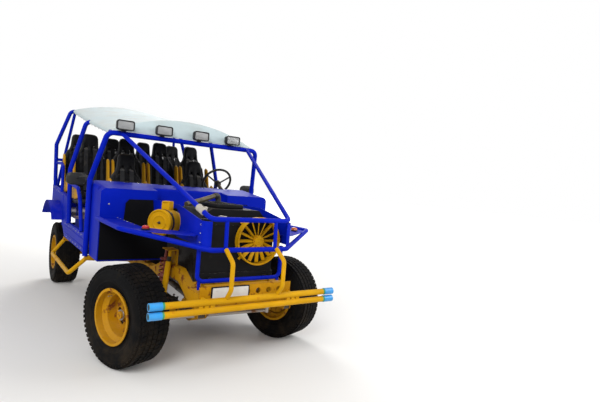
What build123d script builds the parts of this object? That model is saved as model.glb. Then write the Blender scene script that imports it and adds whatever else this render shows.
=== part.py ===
"""Tour dune buggy with a tube cage, ladder frame, leaf springs and ten bucket seats.

Millimetres, +Z up. The nose faces -Y and the driver's side is +X. Every Y below is measured from the
front axle, and write() moves each piece so that the origin lies midway along the vehicle, on the ground.
"""
from build123d import *
from math import cos, radians, sin
import os

os.makedirs("parts", exist_ok=True)

# Running gear
wheelbase = 2950.0
half_track = 764.0
tyre_radius = 390.0
tyre_width = 270.0
rim_radius = 203.0
rim_flange = 14.0
rim_width = 250.0
rim_wall = 7.0
disc_offset = -35.0
steer_rest = 19.0
kingpin_reach = 164.0
kingpin_x = half_track - kingpin_reach
kingpin_half = 86.0
steer_arm = 185.0
link_z = 360.0
link_radius = 13.0
eye_half = 17.7
arm_drop = 18.0
arm_thick = 16.0
axle_radius = 38.0
diff_radius = 122.0
shock_top_z = 880.0
tower_x = 428.0
shock_foot_x = 466.0
shock_foot_z = tyre_radius + 63.3

# Frame
rail_x = 370.0
rail_width = 60.0
rail_height = 100.0
rail_z = 600.0
rail_kick = 105.0
rail_front_y = -600.0
rear_kick = 145.0
spring_x = 375.0
spring_width = 56.0
leaf = 8.0
front_eye = 595.0
rear_eye = 480.0
eye_z = 490.0
rear_overhang = 550.0
tail_y = wheelbase + rear_overhang

# Stations along the body: the rows share the room between the front seats and the rear axle
front_row_y = 1430.0
rear_row_y = wheelbase - 20.0
middle_row_y = (front_row_y + rear_row_y) / 2.0
riser_y = middle_row_y - 380.0
middle_hoop_y = middle_row_y - 180.0
rear_hoop_y = wheelbase + 250.0
sill_back_y = wheelbase - 670.0
muffler_y = wheelbase - 650.0

# Body
side_x = 876.0
panel = 4.0
floor_z = 684.0
deck_z = 940.0
cowl_front_y = 600.0
cowl_back_y = 985.0
cowl_top_z = 1395.0
recess_x = (-350.0, 380.0)
recess_depth = 160.0
recess_z = 1190.0
fender_z = 1073.0
wall = 30.0
sill_top = 870.0
quarter_top = 1250.0
cowl_x = 851.7
fender_strip = 150.0

# Tube sizes, as radii
cage_r = 24.0
nose_r = 19.0
bumper_r = 24.0
bow_r = 12.0
step_r = 20.0

# Cage hoops: name, Y at the foot, Y at the top, foot X, foot Z, knee X, knee Z, top X, top Z
hoops = [
    ("front", cowl_back_y, 800.0, 876.0, floor_z - 12, 876.0, 1400.0, 784.0, 1850.0),
    ("middle", middle_hoop_y, middle_hoop_y, 876.0, sill_top, 895.0, 1477.0, 760.0, 2041.0),
    ("rear", rear_hoop_y, rear_hoop_y, 884.0, quarter_top, 901.0, 1800.0, 750.0, 2276.0),
]
hoop_bend = 70.0

# Canopy sections: Y, half width, edge Z, crest Z
canopy_sections = [
    (838.0, 655.0, 1900.0, 2054.0),
    (middle_hoop_y, 650.0, 2082.0, 2225.0),
    (rear_hoop_y + 30.0, 600.0, 2316.0, 2440.0),
]
canopy_sheet = 6.0

# Seats: row name, Y of the back's foot, Z of the cushion's underside, X of each seat
seat_rows = [
    ("front", front_row_y, 860.0, (-400.0, 400.0)),
    ("middle", middle_row_y, 1085.0, (-645.0, -215.0, 215.0, 645.0)),
    ("rear", rear_row_y, 1120.0, (-645.0, -215.0, 215.0, 645.0)),
]
seat_width = 400.0
seat_back = 810.0
seat_lean = 12.0

# Nose
nose_y = -602.0
nose_top_z = 1198.0
nose_mid_z = 970.0
nose_half = 347.0
fender_corner = (869.0, -162.0)
bumper_y = -690.0
bumper_half = 786.0
bumper_z = (613.0, 550.0)
sleeve_length = 90.0

upright_y = -752.0
upright_r = 17.0
tail_lamp_depth = 26.0

middle_y = (tail_y + 0.3 + tail_lamp_depth + upright_y - upright_r) / 2.0


def write(piece, label):
    """Label a piece, move it to the vehicle's middle and write its file."""
    piece.label = label
    moved = piece.moved(Location((0, -middle_y, 0)))
    moved.label = label
    export_step(moved, f"parts/{label}.step")
    print(label, len(piece.solids()), round(piece.volume / 1e6, 2))


def tube(points, radius, bend=0.0):
    """A round bar along straight runs joined by arcs."""
    with BuildPart() as run:
        with BuildLine() as path:
            if len(points) > 2:
                FilletPolyline(*points, radius=bend)
            else:
                Line(*points)
        with BuildSketch(Plane(origin=path.line @ 0, z_dir=path.line % 0)):
            Circle(radius)
        sweep()
    return run.part


def both(points):
    """The same points on the other side of the vehicle."""
    return [(-x, y, z) for x, y, z in points]


def arch(half):
    """A hoop's points, given those of one side from the foot up."""
    return both(half) + half[::-1]


def block(low, high):
    """A box between two corners."""
    with BuildPart() as piece:
        with BuildSketch(Plane.XY.offset(low[2])):
            with Locations(((low[0] + high[0]) / 2, (low[1] + high[1]) / 2)):
                Rectangle(high[0] - low[0], high[1] - low[1])
        extrude(amount=high[2] - low[2])
    return piece.part


def side_plate(outline, x_low, x_high):
    """A plate standing along the vehicle, from its outline in Y and Z."""
    with BuildPart() as piece:
        with BuildSketch(Plane.YZ.offset(x_low)):
            with BuildLine():
                Polyline(*outline, close=True)
            make_face()
        extrude(amount=x_high - x_low)
    return piece.part


def joined(pieces):
    """Pieces welded into one node."""
    with BuildPart() as node:
        for piece in pieces:
            add(piece)
    return node.part


def mirrored(piece):
    """A piece and its twin on the other side, in one node."""
    with BuildPart() as node:
        add(piece)
        mirror(about=Plane.YZ)
    return node.part


# Wheels, built about the X axis with the outer face toward +X

def tyre_shape():
    """A tyre with rounded shoulders, a step at each bead and four tread grooves."""
    half = tyre_width / 2
    tread = half - 22
    bead = rim_width / 2 - 20
    with BuildPart() as tyre:
        with BuildSketch(Plane.XY):
            with BuildLine():
                Line((-bead, rim_radius + 1), (bead, rim_radius + 1))
                Line((bead, rim_radius + 1), (bead, rim_radius + 30))
                ThreePointArc((bead, rim_radius + 30), (half, 300), (half - 6, 352))
                Line((half - 6, 352), (tread, 384))
                ThreePointArc((tread, 384), (0, tyre_radius), (-tread, 384))
                Line((-tread, 384), (-half + 6, 352))
                ThreePointArc((-half + 6, 352), (-half, 300), (-bead, rim_radius + 30))
                Line((-bead, rim_radius + 30), (-bead, rim_radius + 1))
            make_face()
            with Locations((-66, tyre_radius), (-22, tyre_radius), (22, tyre_radius), (66, tyre_radius)):
                Rectangle(9, 26, mode=Mode.SUBTRACT)
        revolve(axis=Axis.X)
    return tyre.part


def rim_shape():
    """A deep steel wheel: rolled barrel, flanges and a disc with round holes."""
    half = rim_width / 2
    out = rim_radius + rim_flange
    seat = rim_radius
    well = rim_radius - 32
    with BuildPart() as rim:
        with BuildSketch(Plane.XY):
            with BuildLine():
                Polyline(
                    (-half, out), (-half + rim_wall, out), (-half + rim_wall, seat), (-half + 45, seat),
                    (-half + 60, well), (half - 75, well), (half - 45, seat), (half - rim_wall, seat),
                    (half - rim_wall, out), (half, out), (half, seat - rim_wall), (half - 48, seat - rim_wall),
                    (half - 78, well - rim_wall), (-half + 57, well - rim_wall),
                    (-half + 42, seat - rim_wall), (-half, seat - rim_wall), close=True,
                )
            make_face()
            with Locations((disc_offset, (well + 45) / 2)):
                Rectangle(8, well - 45)
        revolve(axis=Axis.X)
        with BuildSketch(Plane.YZ.offset(disc_offset - 10)):
            with PolarLocations(118, 8):
                Circle(24)
        extrude(amount=20, mode=Mode.SUBTRACT)
        with BuildSketch(Plane.YZ.offset(disc_offset + 3)):
            with PolarLocations(64, 5):
                RegularPolygon(12, 6)
        extrude(amount=16)
    return rim.part


def hub_shape():
    """A hub with five studs, its cap and the brake disc behind the wheel."""
    with BuildPart() as hub:
        with BuildSketch(Plane.YZ.offset(disc_offset - 4.3)):
            Circle(80)
        extrude(amount=-14.7)
        with BuildSketch(Plane.YZ.offset(disc_offset - 19)):
            Circle(150)
            Circle(50, mode=Mode.SUBTRACT)
        extrude(amount=-14)
        with BuildSketch(Plane.YZ.offset(disc_offset - 19)):
            Circle(56)
        extrude(amount=-34)
        with BuildSketch(Plane.YZ.offset(disc_offset - 5)):
            Circle(42)
        extrude(amount=75)
        with BuildSketch(Plane.YZ.offset(disc_offset + 70)):
            Circle(30)
        extrude(amount=18)
    return hub.part


def knuckle_shape(arm_ends):
    """A knuckle about its kingpin, for the driver's side, pointing straight ahead."""
    reach = half_track - kingpin_x + disc_offset - 53.3
    with BuildPart() as knuckle:
        with BuildSketch(Plane.XY.offset(tyre_radius - kingpin_half + 4)):
            Circle(24)
        extrude(amount=2 * kingpin_half - 8)
        with BuildSketch(Plane.XY.offset(tyre_radius - kingpin_half - 24)):
            Circle(11)
        extrude(amount=2 * kingpin_half + 48)
        with BuildSketch(Plane.YZ.offset(10)):
            with Locations((0, tyre_radius)):
                Rectangle(96, 120)
        extrude(amount=reach - 10)
        for end in arm_ends:
            with BuildSketch(Plane.XY.offset(link_z - arm_drop - arm_thick)):
                with Locations((0, end / 2)):
                    Rectangle(36, abs(end))
                with Locations((0, end)):
                    Circle(20)
            extrude(amount=arm_thick)
    return knuckle.part


tyre_local = tyre_shape()
with BuildPart() as wheel_set:
    add(rim_shape())
    add(hub_shape())
wheel_local = wheel_set.part
steered = {"left": 1, "right": -1}
for side, sign in steered.items():
    for place, y in (("front", 0.0), ("rear", wheelbase)):
        for name, local in (("tyre", tyre_local), ("wheel", wheel_local)):
            turn = steer_rest if place == "front" else 0.0
            at_pin = Location((sign * kingpin_x, y, tyre_radius), (0, 0, turn))
            out = Location((sign * (half_track - kingpin_x), 0, 0), (0, 0, 0 if sign > 0 else 180))
            with BuildPart() as wheel_piece:
                with Locations(at_pin * out):
                    add(local)
            write(wheel_piece.part, f"{name}_{place}_{side}")

knuckle_arms = {"left": (steer_arm,), "right": (-steer_arm, steer_arm)}
for side, sign in steered.items():
    local = knuckle_shape(knuckle_arms[side])
    if sign < 0:
        local = local.mirror(Plane.YZ)
    with BuildPart() as knuckle:
        with Locations(Location((sign * kingpin_x, 0, 0), (0, 0, steer_rest))):
            add(local)
    write(knuckle.part, f"knuckle_{side}")


def arm_end(pin_x, pin_y, length, z):
    """Where a steering arm's ball sits in the rest pose; a negative length points forward."""
    turn = radians(steer_rest)
    return (pin_x - length * sin(turn), pin_y + length * cos(turn), z)


def rod(start, end, radius):
    """A link between two balls, with an eye that stands on each arm."""
    with BuildPart() as link:
        with BuildLine() as path:
            Line(start, end)
        with BuildSketch(Plane(origin=path.line @ 0, z_dir=path.line % 0)):
            Circle(radius)
        sweep()
        with Locations(start, end):
            Cylinder(radius + 5, 2 * eye_half)
    return link.part


# Tie rod behind the axle, drag link in front of it
tie_left = arm_end(kingpin_x, 0.0, steer_arm, link_z)
tie_right = arm_end(-kingpin_x, 0.0, steer_arm, link_z)
write(rod(tie_left, tie_right, link_radius), "tie_rod")
pitman_x = 308.0
pitman_y = -150.0
gear_z = 590.0
gear_half = 55.0
pitman_z = 385.0
drag_left = arm_end(pitman_x, pitman_y, -steer_arm, pitman_z)
drag_right = arm_end(-kingpin_x, 0.0, -steer_arm, link_z)
write(rod(drag_left, drag_right, link_radius), "drag_link")
with BuildPart() as pitman:
    with Locations(Location((pitman_x, pitman_y, pitman_z + arm_drop), (0, 0, steer_rest))):
        with Locations((0, -steer_arm / 2, arm_thick / 2)):
            Box(34, steer_arm, arm_thick)
        with Locations((0, 0, arm_thick / 2), (0, -steer_arm, arm_thick / 2)):
            Cylinder(22, arm_thick)
        with Locations((0, 0, arm_thick - 1)):
            Cylinder(13, gear_z - gear_half - 0.3 - pitman_z - arm_drop - arm_thick + 1,
                     align=(Align.CENTER, Align.CENTER, Align.MIN))
write(pitman.part, "pitman_arm")


# Ladder frame

def rail_line():
    """The rail's centre line from nose to tail, as Y and Z."""
    return [
        (rail_front_y, rail_z), (-400, rail_z), (-180, rail_z + rail_kick), (180, rail_z + rail_kick),
        (480, rail_z), (wheelbase - 520, rail_z), (wheelbase - 240, rail_z + rear_kick),
        (wheelbase + 240, rail_z + rear_kick), (tail_y - 90, rail_z + 60),
    ]


def rail_height_at(y):
    """Z of the rail's centre line at one Y."""
    line = rail_line()
    for (y0, z0), (y1, z1) in zip(line, line[1:]):
        if y0 <= y <= y1:
            return z0 + (z1 - z0) * (y - y0) / (y1 - y0)
    return line[-1][1]


def rail():
    """One box rail with its kick-ups over both axles."""
    half = rail_height / 2
    line = rail_line()
    outline = [(y, z + half) for y, z in line] + [(y, z - half) for y, z in line[::-1]]
    return side_plate(outline, rail_x - rail_width / 2, rail_x + rail_width / 2)


with BuildPart() as rails:
    add(rail())
    mirror(about=Plane.YZ)
write(rails.part, "frame_rails")

# Axles, springs, shackles and shocks

def axle_tube(y, half_length, diff_x):
    """A solid axle's tube with its differential housing and spring pads."""
    with BuildPart() as axle:
        with BuildSketch(Plane.YZ.offset(-half_length)):
            with Locations((y, tyre_radius)):
                Circle(axle_radius)
        extrude(amount=2 * half_length)
        with BuildSketch(Plane.YZ.offset(diff_x - 70)):
            with Locations((y, tyre_radius)):
                Circle(diff_radius)
        extrude(amount=140)
        with BuildSketch(Plane.YZ.offset(diff_x - 110)):
            with Locations((y, tyre_radius)):
                Circle(70)
        extrude(amount=220)
        with Locations((spring_x, y, tyre_radius + 30), (-spring_x, y, tyre_radius + 30)):
            Box(64, 110, 24)
    return axle.part


yoke_x = kingpin_x - 68.0
front_diff_x = -150.0
with BuildPart() as front_axle:
    add(axle_tube(0, yoke_x, front_diff_x))
    for sign in (1, -1):
        with Locations((sign * (yoke_x + 6), 0, tyre_radius)):
            Box(16, 60, 2 * kingpin_half + 44)
        for z in (tyre_radius + kingpin_half + 11, tyre_radius - kingpin_half - 11):
            with Locations((sign * (yoke_x + kingpin_x) / 2, 0, z)):
                Box(kingpin_x - yoke_x, 46, 22)
            with Locations((sign * kingpin_x, 0, z)):
                Cylinder(26, 22)
                Cylinder(11.4, 40, mode=Mode.SUBTRACT)
        with Locations((sign * shock_foot_x, 0, tyre_radius + 34)):
            Box(30, 120, 26)
write(front_axle.part, "front_axle")

rear_half = half_track + disc_offset - 53.3
with BuildPart() as rear_axle:
    add(axle_tube(wheelbase, rear_half, 0.0))
    for sign in (1, -1):
        with Locations((sign * shock_foot_x, wheelbase, tyre_radius + 34)):
            Box(30, 120, 26)
write(rear_axle.part, "rear_axle")


def leaf_pack(y, half_length):
    """Five leaves that shorten downward, with a clamp at the axle, on the driver's side."""
    seat_z = tyre_radius + 42
    with BuildPart() as pack:
        for count in range(5):
            length = half_length * (1 - 0.17 * (4 - count))
            rise = (eye_z - seat_z - 5 * leaf + 12) * (length / half_length) ** 2
            low = seat_z + count * leaf
            with BuildSketch(Plane.YZ.offset(spring_x - spring_width / 2)):
                with BuildLine():
                    ThreePointArc((y - length, low + rise), (y, low), (y + length, low + rise))
                    Line((y + length, low + rise), (y + length, low + rise + leaf))
                    ThreePointArc((y + length, low + rise + leaf), (y, low + leaf),
                                  (y - length, low + rise + leaf))
                    Line((y - length, low + rise + leaf), (y - length, low + rise))
                make_face()
            extrude(amount=spring_width)
        with BuildSketch(Plane.YZ.offset(spring_x - spring_width / 2)):
            with Locations((y - half_length, eye_z), (y + half_length, eye_z)):
                Circle(20)
                Circle(9, mode=Mode.SUBTRACT)
        extrude(amount=spring_width)
        with BuildSketch(Plane.YZ.offset(spring_x - spring_width)):
            with Locations((y - half_length, eye_z), (y + half_length, eye_z)):
                Circle(9)
        extrude(amount=2 * spring_width, mode=Mode.SUBTRACT)
        with Locations((spring_x, y, seat_z + 0.2 + 2.5 * leaf + 4)):
            Box(spring_width + 14, 70, 5 * leaf + 8)
    return pack.part


write(mirrored(joined([leaf_pack(0, front_eye), leaf_pack(wheelbase, rear_eye)])), "leaf_springs")


def hanger(y):
    """Two cheeks from the rail down to a spring eye, with the eye bolt."""
    top = rail_height_at(y) - rail_height / 2 + 20
    gap = spring_width / 2 + 0.3
    outline = [(y - 45, top), (y + 45, top), (y + 22, eye_z - 16), (y - 22, eye_z - 16)]
    return joined([
        side_plate(outline, spring_x - gap - 6, spring_x - gap),
        side_plate(outline, spring_x + gap, spring_x + gap + 6),
        tube([(spring_x - gap - 10, y, eye_z), (spring_x + gap + 10, y, eye_z)], 8.7),
    ])


def tower(y):
    """A bracket from the rail's side up to the dampers' top bolts."""
    base = rail_height_at(y) + rail_height / 2
    with BuildPart() as bracket:
        with Locations((rail_x + 4, y, (base - 20 + shock_top_z + 5) / 2)):
            Box(8, 150, shock_top_z - base + 25)
        with Locations((rail_x + 42, y, shock_top_z + 5.6)):
            Box(84, 150, 8)
    return bracket.part


# What is welded to the rails: cross tubes, outriggers, body mounts, engine mounts, hangers and towers
cross_tubes = (-330.0, front_row_y - 30, wheelbase - 1000.0, wheelbase - 330.0, tail_y - 110.0)
outriggers = (cowl_back_y + 15, sill_back_y + 30)
body_mounts = (cowl_front_y + 100, front_row_y + 70, wheelbase - 350.0, wheelbase + 400.0)
member_r = 26.0
mount_r = 28.0
engine_half = 270.0
hangers = [hanger(y) for y in (-front_eye, front_eye, wheelbase - rear_eye, wheelbase + rear_eye)]
with BuildPart() as members:
    for y in cross_tubes:
        add(tube([(-rail_x, y, rail_height_at(y) + 18), (rail_x, y, rail_height_at(y) + 18)], member_r))
    for y in outriggers:
        for sign in (1, -1):
            add(tube([(sign * rail_x, y, rail_z + 22), (sign * side_x, y, rail_z + 52)], member_r))
    for y in body_mounts:
        top = floor_z if y < riser_y else deck_z
        base = rail_height_at(y)
        with BuildSketch(Plane.XY.offset(base)):
            with Locations((rail_x, y), (-rail_x, y)):
                Circle(mount_r)
        extrude(amount=top - base)
    with Locations((engine_half + 35.7, 140, 675), (-engine_half - 35.7, 140, 675)):
        Box(70.8, 60, 30)
    add(mirrored(joined(hangers)))
    add(mirrored(joined([tower(0), tower(wheelbase)])))
    add(rails.part, mode=Mode.SUBTRACT)
write(members.part, "frame_members")

# Front crossmember with its row of round holes
with BuildPart() as crossmember:
    with BuildSketch(Plane.XZ.offset(-rail_front_y)):
        with Locations((0, 625.3)):
            Rectangle(2 * rail_x + rail_width, 150)
        with Locations((0, 645)):
            with GridLocations(96, 0, 7, 1):
                Circle(22, mode=Mode.SUBTRACT)
    extrude(amount=8)
    with BuildSketch(Plane.XY.offset(692)):
        with Locations((0, -572)):
            Rectangle(2 * rail_x - rail_width - 4, 56)
    extrude(amount=8)
    add(mirrored(hangers[0]), mode=Mode.SUBTRACT)
write(crossmember.part, "front_crossmember")


def shock(y, body_radius, ribs):
    """One damper from the axle's bracket to its tower, ribbed where it carries a coil."""
    top = Vector(tower_x, y, shock_top_z)
    foot = Vector(shock_foot_x, y, shock_foot_z)
    span = (top - foot).length
    with BuildPart() as damper:
        with BuildSketch(Plane(origin=foot, x_dir=(0, 1, 0), z_dir=top - foot)):
            Circle(13)
        extrude(amount=span)
        with BuildSketch(Plane(origin=foot, x_dir=(0, 1, 0), z_dir=top - foot).offset(60)):
            Circle(body_radius)
        extrude(amount=span - 150)
        for rib in range(ribs):
            up = 72 + rib * (span - 190) / max(ribs - 1, 1)
            with BuildSketch(Plane(origin=foot, x_dir=(0, 1, 0), z_dir=top - foot).offset(up)):
                Circle(body_radius + 12)
            extrude(amount=14)
        with BuildSketch(Plane.YZ.offset(shock_foot_x - 14)):
            with Locations((y, shock_foot_z)):
                Circle(16)
        extrude(amount=28)
    return damper.part


write(mirrored(joined([shock(-42, 24, 0), shock(wheelbase - 42, 24, 0)])), "shocks")
write(mirrored(joined([shock(38, 22, 8), shock(wheelbase + 38, 22, 8)])), "coil_dampers")

# Engine, gearbox, shafts, exhaust and tank
write(block((-engine_half, -190, 560), (engine_half, 480, 1000)), "engine_block")
with BuildPart() as engine_top:
    with BuildSketch(Plane.XZ.offset(190)):
        with BuildLine():
            Polyline((-250, 1000.3), (-250, 1165), (-190, 1220), (-150, 1245), (300, 1245), (350, 1190),
                     (350, 1060), (290, 1000.3), close=True)
        make_face()
    extrude(amount=-560)
    fillet(engine_top.edges().filter_by(Axis.Y), 14)
write(engine_top.part, "engine_top")
with BuildPart() as gearbox:
    with BuildSketch(Plane.XZ.offset(-480.3)):
        with Locations((0, 565)):
            Rectangle(250, 210)
    with BuildSketch(Plane.XZ.offset(-1080)):
        with Locations((0, 570)):
            Rectangle(170, 160)
    loft()
    with Locations((-95, 1180, 575)):
        Box(400, 240, 150)
    add(tube([(-rail_x + rail_width / 2 + 0.3, 1180, 590), (rail_x - rail_width / 2 - 0.3, 1180, 590)], 18))
write(gearbox.part, "gearbox")


def shaft(start, end):
    """A propeller shaft with a joint at each end."""
    direction = (Vector(*end) - Vector(*start)).normalized()
    first = Vector(*start)
    last = Vector(*end)
    return joined([
        tube([start, end], 28),
        tube([tuple(first), tuple(first + direction * 70)], 36),
        tube([tuple(last - direction * 70), tuple(last)], 36),
    ])


with BuildPart() as shafts:
    add(shaft((0, 1290, 556), (0, wheelbase - 100, 409)))
    add(shaft((-240, 1070, 550), (-151, 100, 424)))
    add(gearbox.part, mode=Mode.SUBTRACT)
    add(front_axle.part, mode=Mode.SUBTRACT)
    add(rear_axle.part, mode=Mode.SUBTRACT)
write(shafts.part, "propeller_shafts")

exhaust_r = 24.0
with BuildPart() as exhaust:
    add(tube([(298, 380, 700), (298, 430, 545), (230, 900, 520), (230, muffler_y + 10, 520)], exhaust_r, 60))
    add(block((270.3, 60, 695), (326, 420, 760)))
    with BuildSketch(Plane.XZ.offset(-muffler_y)):
        with Locations((230, 520)):
            Ellipse(100, 62)
    extrude(amount=-420)
    add(tube([(230, muffler_y + 400, 520), (230, muffler_y + 460, 520), (298, wheelbase + 170, 600),
              (298, tail_y + 20, 600)], exhaust_r, 50))
write(exhaust.part, "exhaust")
with BuildPart() as tank:
    with Locations((0, wheelbase + 230, deck_z - 110.3)):
        Box(560, 330, 220)
    fillet(tank.edges().filter_by(Axis.X), 40)
write(tank.part, "fuel_tank")


# Bumper

bare_half = bumper_half - sleeve_length
with BuildPart() as bumper:
    for z in bumper_z:
        add(tube([(-bare_half, bumper_y, z), (bare_half, bumper_y, z)], bumper_r))
        for sign in (1, -1):
            add(tube([(sign * spring_x, bumper_y, z), (sign * spring_x, -608.3, z)], 16))
write(bumper.part, "bumper_tubes")
with BuildPart() as sleeves:
    with BuildSketch(Plane.YZ.offset(bumper_half - sleeve_length + 0.3)):
        with Locations(*[(bumper_y, z) for z in bumper_z]):
            Circle(bumper_r + 4)
    extrude(amount=sleeve_length)
    with BuildSketch(Plane.YZ.offset(bumper_half - 30)):
        with Locations(*[(bumper_y, z) for z in bumper_z]):
            Circle(bumper_r - 2)
    extrude(amount=40, mode=Mode.SUBTRACT)
    mirror(about=Plane.YZ)
write(sleeves.part, "bumper_sleeves")

upright_x = 222.0
with BuildPart() as uprights:
    add(tube([(upright_x, nose_y - 29, nose_mid_z + 6), (upright_x, upright_y, 897), (upright_x, upright_y, 700),
              (upright_x, bumper_y - 6, 630)], upright_r, 45))
    mirror(about=Plane.YZ)

# Nose cage, with the fender rails that run back to the cowl
with BuildPart() as nose:
    add(tube([(-662, 780, 1849), (-nose_half, nose_y, nose_top_z), (nose_half, nose_y, nose_top_z),
              (662, 780, 1849)], nose_r, 60))
    rail_half = [(329, nose_y - 8, nose_mid_z), (fender_corner[0], fender_corner[1], fender_z),
                 (fender_corner[0], cowl_front_y - 0.3, fender_z)]
    add(tube(both(rail_half)[::-1] + rail_half, nose_r, 60))
    for x in (217, -217):
        add(tube([(x, nose_y, nose_top_z), (x, nose_y - 8, nose_mid_z)], 15))
    hoop_half = [(369, -475, 975), (369, -475, 712)]
    add(tube(both(hoop_half) + hoop_half[::-1], 16, 50))
    for sign in (1, -1):
        add(tube([(sign * 352, -475, 712), (sign * 352, -475, rail_z + rail_height / 2 + 0.3)], 12))
        add(tube([(sign * 369, -475, 960), (sign * 369, -566, 965)], 12))


def fender():
    """The flat strip inside the driver's side fender rail."""
    edge = Vector(fender_corner[0] - 329, fender_corner[1] - nose_y + 8).normalized()
    inward = Vector(-edge.Y, edge.X) * fender_strip
    with BuildPart() as plate:
        with BuildSketch(Plane.XY.offset(fender_z - 10)):
            with BuildLine():
                Polyline((fender_corner[0], fender_corner[1]), (fender_corner[0], cowl_front_y - 0.3),
                         (fender_corner[0] - 210, cowl_front_y - 0.3), (fender_corner[0] - 210, 40),
                         (430 + inward.X, -526 + inward.Y), (430, -526), close=True)
            make_face()
        extrude(amount=panel)
    return plate.part


plates = mirrored(fender())


# Nose side panel, rolled inward at its front edge
side_panel_x = 388.0
roll_y = -540.0
roll_r = 60.0
side_outline = [(roll_y, 990), (roll_y, 1180), (-60, 1262), (560, 1262), (560, 1080), (-60, 1000)]
with BuildPart() as nose_side:
    add(side_plate(side_outline, side_panel_x, side_panel_x + panel))
    with BuildSketch(Plane.XY.offset(990)):
        with Locations((side_panel_x + panel - roll_r, roll_y)):
            Circle(roll_r)
            Circle(roll_r - panel, mode=Mode.SUBTRACT)
            Rectangle(2 * roll_r, roll_r, align=(Align.CENTER, Align.MIN), mode=Mode.SUBTRACT)
            Rectangle(roll_r, 2 * roll_r, align=(Align.MAX, Align.CENTER), mode=Mode.SUBTRACT)
    extrude(amount=190)

# Radiator, fan and its ring
fan_centre = (150.0, -456.6, 1015.0)
fan_radius = 192.0
fan_hub = 46.0
blade_count = 16
blade_chord = 30.0
blade_pitch = 50.0
with BuildPart() as radiator:
    with Locations((0, -385, 945)):
        Box(650, 44, 400)
    with Locations((0, -385, 1158)):
        Box(670, 62, 46)
    with Locations((0, -385, 735)):
        Box(670, 62, 44)
    with Locations((250, -437.3, 720), (-250, -437.3, 720)):
        Box(30, 43, 12)
write(radiator.part, "radiator")
fan_plane = Plane(origin=fan_centre, x_dir=(1, 0, 0), z_dir=(0, -1, 0))
with BuildPart() as fan_ring:
    with BuildSketch(fan_plane.offset(-40)):
        Circle(fan_radius)
        Circle(fan_radius - 8, mode=Mode.SUBTRACT)
    extrude(amount=64)
    with BuildSketch(fan_plane.offset(-40)):
        with PolarLocations(0, 4, 45):
            with Locations((fan_radius / 2, 0)):
                Rectangle(fan_radius, 14)
        Circle(40)
    extrude(amount=8)
write(fan_ring.part, "fan_ring")
with BuildPart() as fan:
    with BuildSketch(fan_plane.offset(-26)):
        Circle(fan_hub)
    extrude(amount=40)
    with BuildSketch(fan_plane.offset(-31.7)):
        Circle(14)
    extrude(amount=10)
    for count in range(blade_count):
        turn = radians(360 / blade_count * count)
        around = Plane(fan_plane.origin, x_dir=(cos(turn), 0, sin(turn)), z_dir=(0, -1, 0))
        root = fan_hub - 6
        with BuildSketch(Plane(around.origin + around.x_dir * root, x_dir=around.y_dir, z_dir=around.x_dir)):
            with Locations((0, -6)):
                Rectangle(blade_chord, 4, rotation=blade_pitch)
        extrude(amount=fan_radius - root - 16)
write(fan.part, "fan_rotor")

# Air filter and intake pipe
filter_centre = Vector(-545, -100, 1115)
filter_axis = Vector(-0.8, -0.6, 0)
filter_plane = Plane(origin=filter_centre, x_dir=(0.6, -0.8, 0), z_dir=filter_axis)
with BuildPart() as air_filter:
    with BuildSketch(filter_plane.offset(-230)):
        Circle(70)
    with BuildSketch(filter_plane.offset(-120)):
        Circle(104)
    loft()
    with BuildSketch(filter_plane.offset(-120)):
        Circle(104)
    extrude(amount=80)
    with BuildSketch(filter_plane.offset(-40)):
        Circle(98)
    extrude(amount=28)
    with BuildSketch(filter_plane.offset(-12)):
        Circle(104)
    extrude(amount=30)
    with BuildSketch(filter_plane.offset(-110)):
        with Locations((0, 110)):
            Rectangle(70, 110)
    extrude(amount=60)
write(air_filter.part, "air_filter")
with BuildPart() as band:
    with BuildSketch(filter_plane.offset(-39)):
        Circle(104)
        Circle(98.3, mode=Mode.SUBTRACT)
    extrude(amount=26)
write(band.part, "filter_band")
filter_back = filter_centre - filter_axis * 230.3
with BuildPart() as intake:
    add(tube([tuple(filter_back), (-310, 76, 1115), (-250.3, 76, 1115)], 36, 50))
write(intake.part, "intake_pipe")


# Cowl, floor and sides

def cowl_solid(inset):
    """The bulkhead's outer form with its recess behind the engine, drawn in by one inset."""
    top_front = cowl_top_z - 55 - inset
    front = cowl_front_y + inset
    half = cowl_x - inset
    back = cowl_back_y + 90
    with BuildPart() as cowl:
        with BuildSketch(Plane.YZ.offset(-half)):
            with BuildLine():
                Polyline((front, floor_z + panel), (front, top_front), (back, cowl_top_z - inset), (back, 1180),
                         (cowl_back_y - 60, floor_z + panel), close=True)
            make_face()
        extrude(amount=2 * half)
        fillet(cowl.edges().filter_by(Axis.X).sort_by(Axis.Z)[-3:-2], 40 - inset)
        rims = [e for e in cowl.edges() if abs(e.center().X) > half - 0.1 and e.center().Z > top_front - 5
                and e.length > 200]
        fillet(rims, 50 - inset)
        recess_y = front + recess_depth
        add(block((recess_x[0] - inset, front - 50, recess_z - inset),
                  (recess_x[1] + inset, recess_y, cowl_top_z + 10)), mode=Mode.SUBTRACT)
        lip = [e for e in cowl.edges().filter_by(Axis.X) if abs(e.center().Y - recess_y) < 0.1
               and e.center().Z > top_front]
        fillet(lip, 25 - inset)
    return cowl.part


def column_bore(radius):
    """The room that the steering shaft needs through sheet metal."""
    return joined([tube([tuple(column_top), tuple(column_end)], radius),
                   tube([tuple(column_end), tuple(shaft_joint)], radius)])


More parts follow.
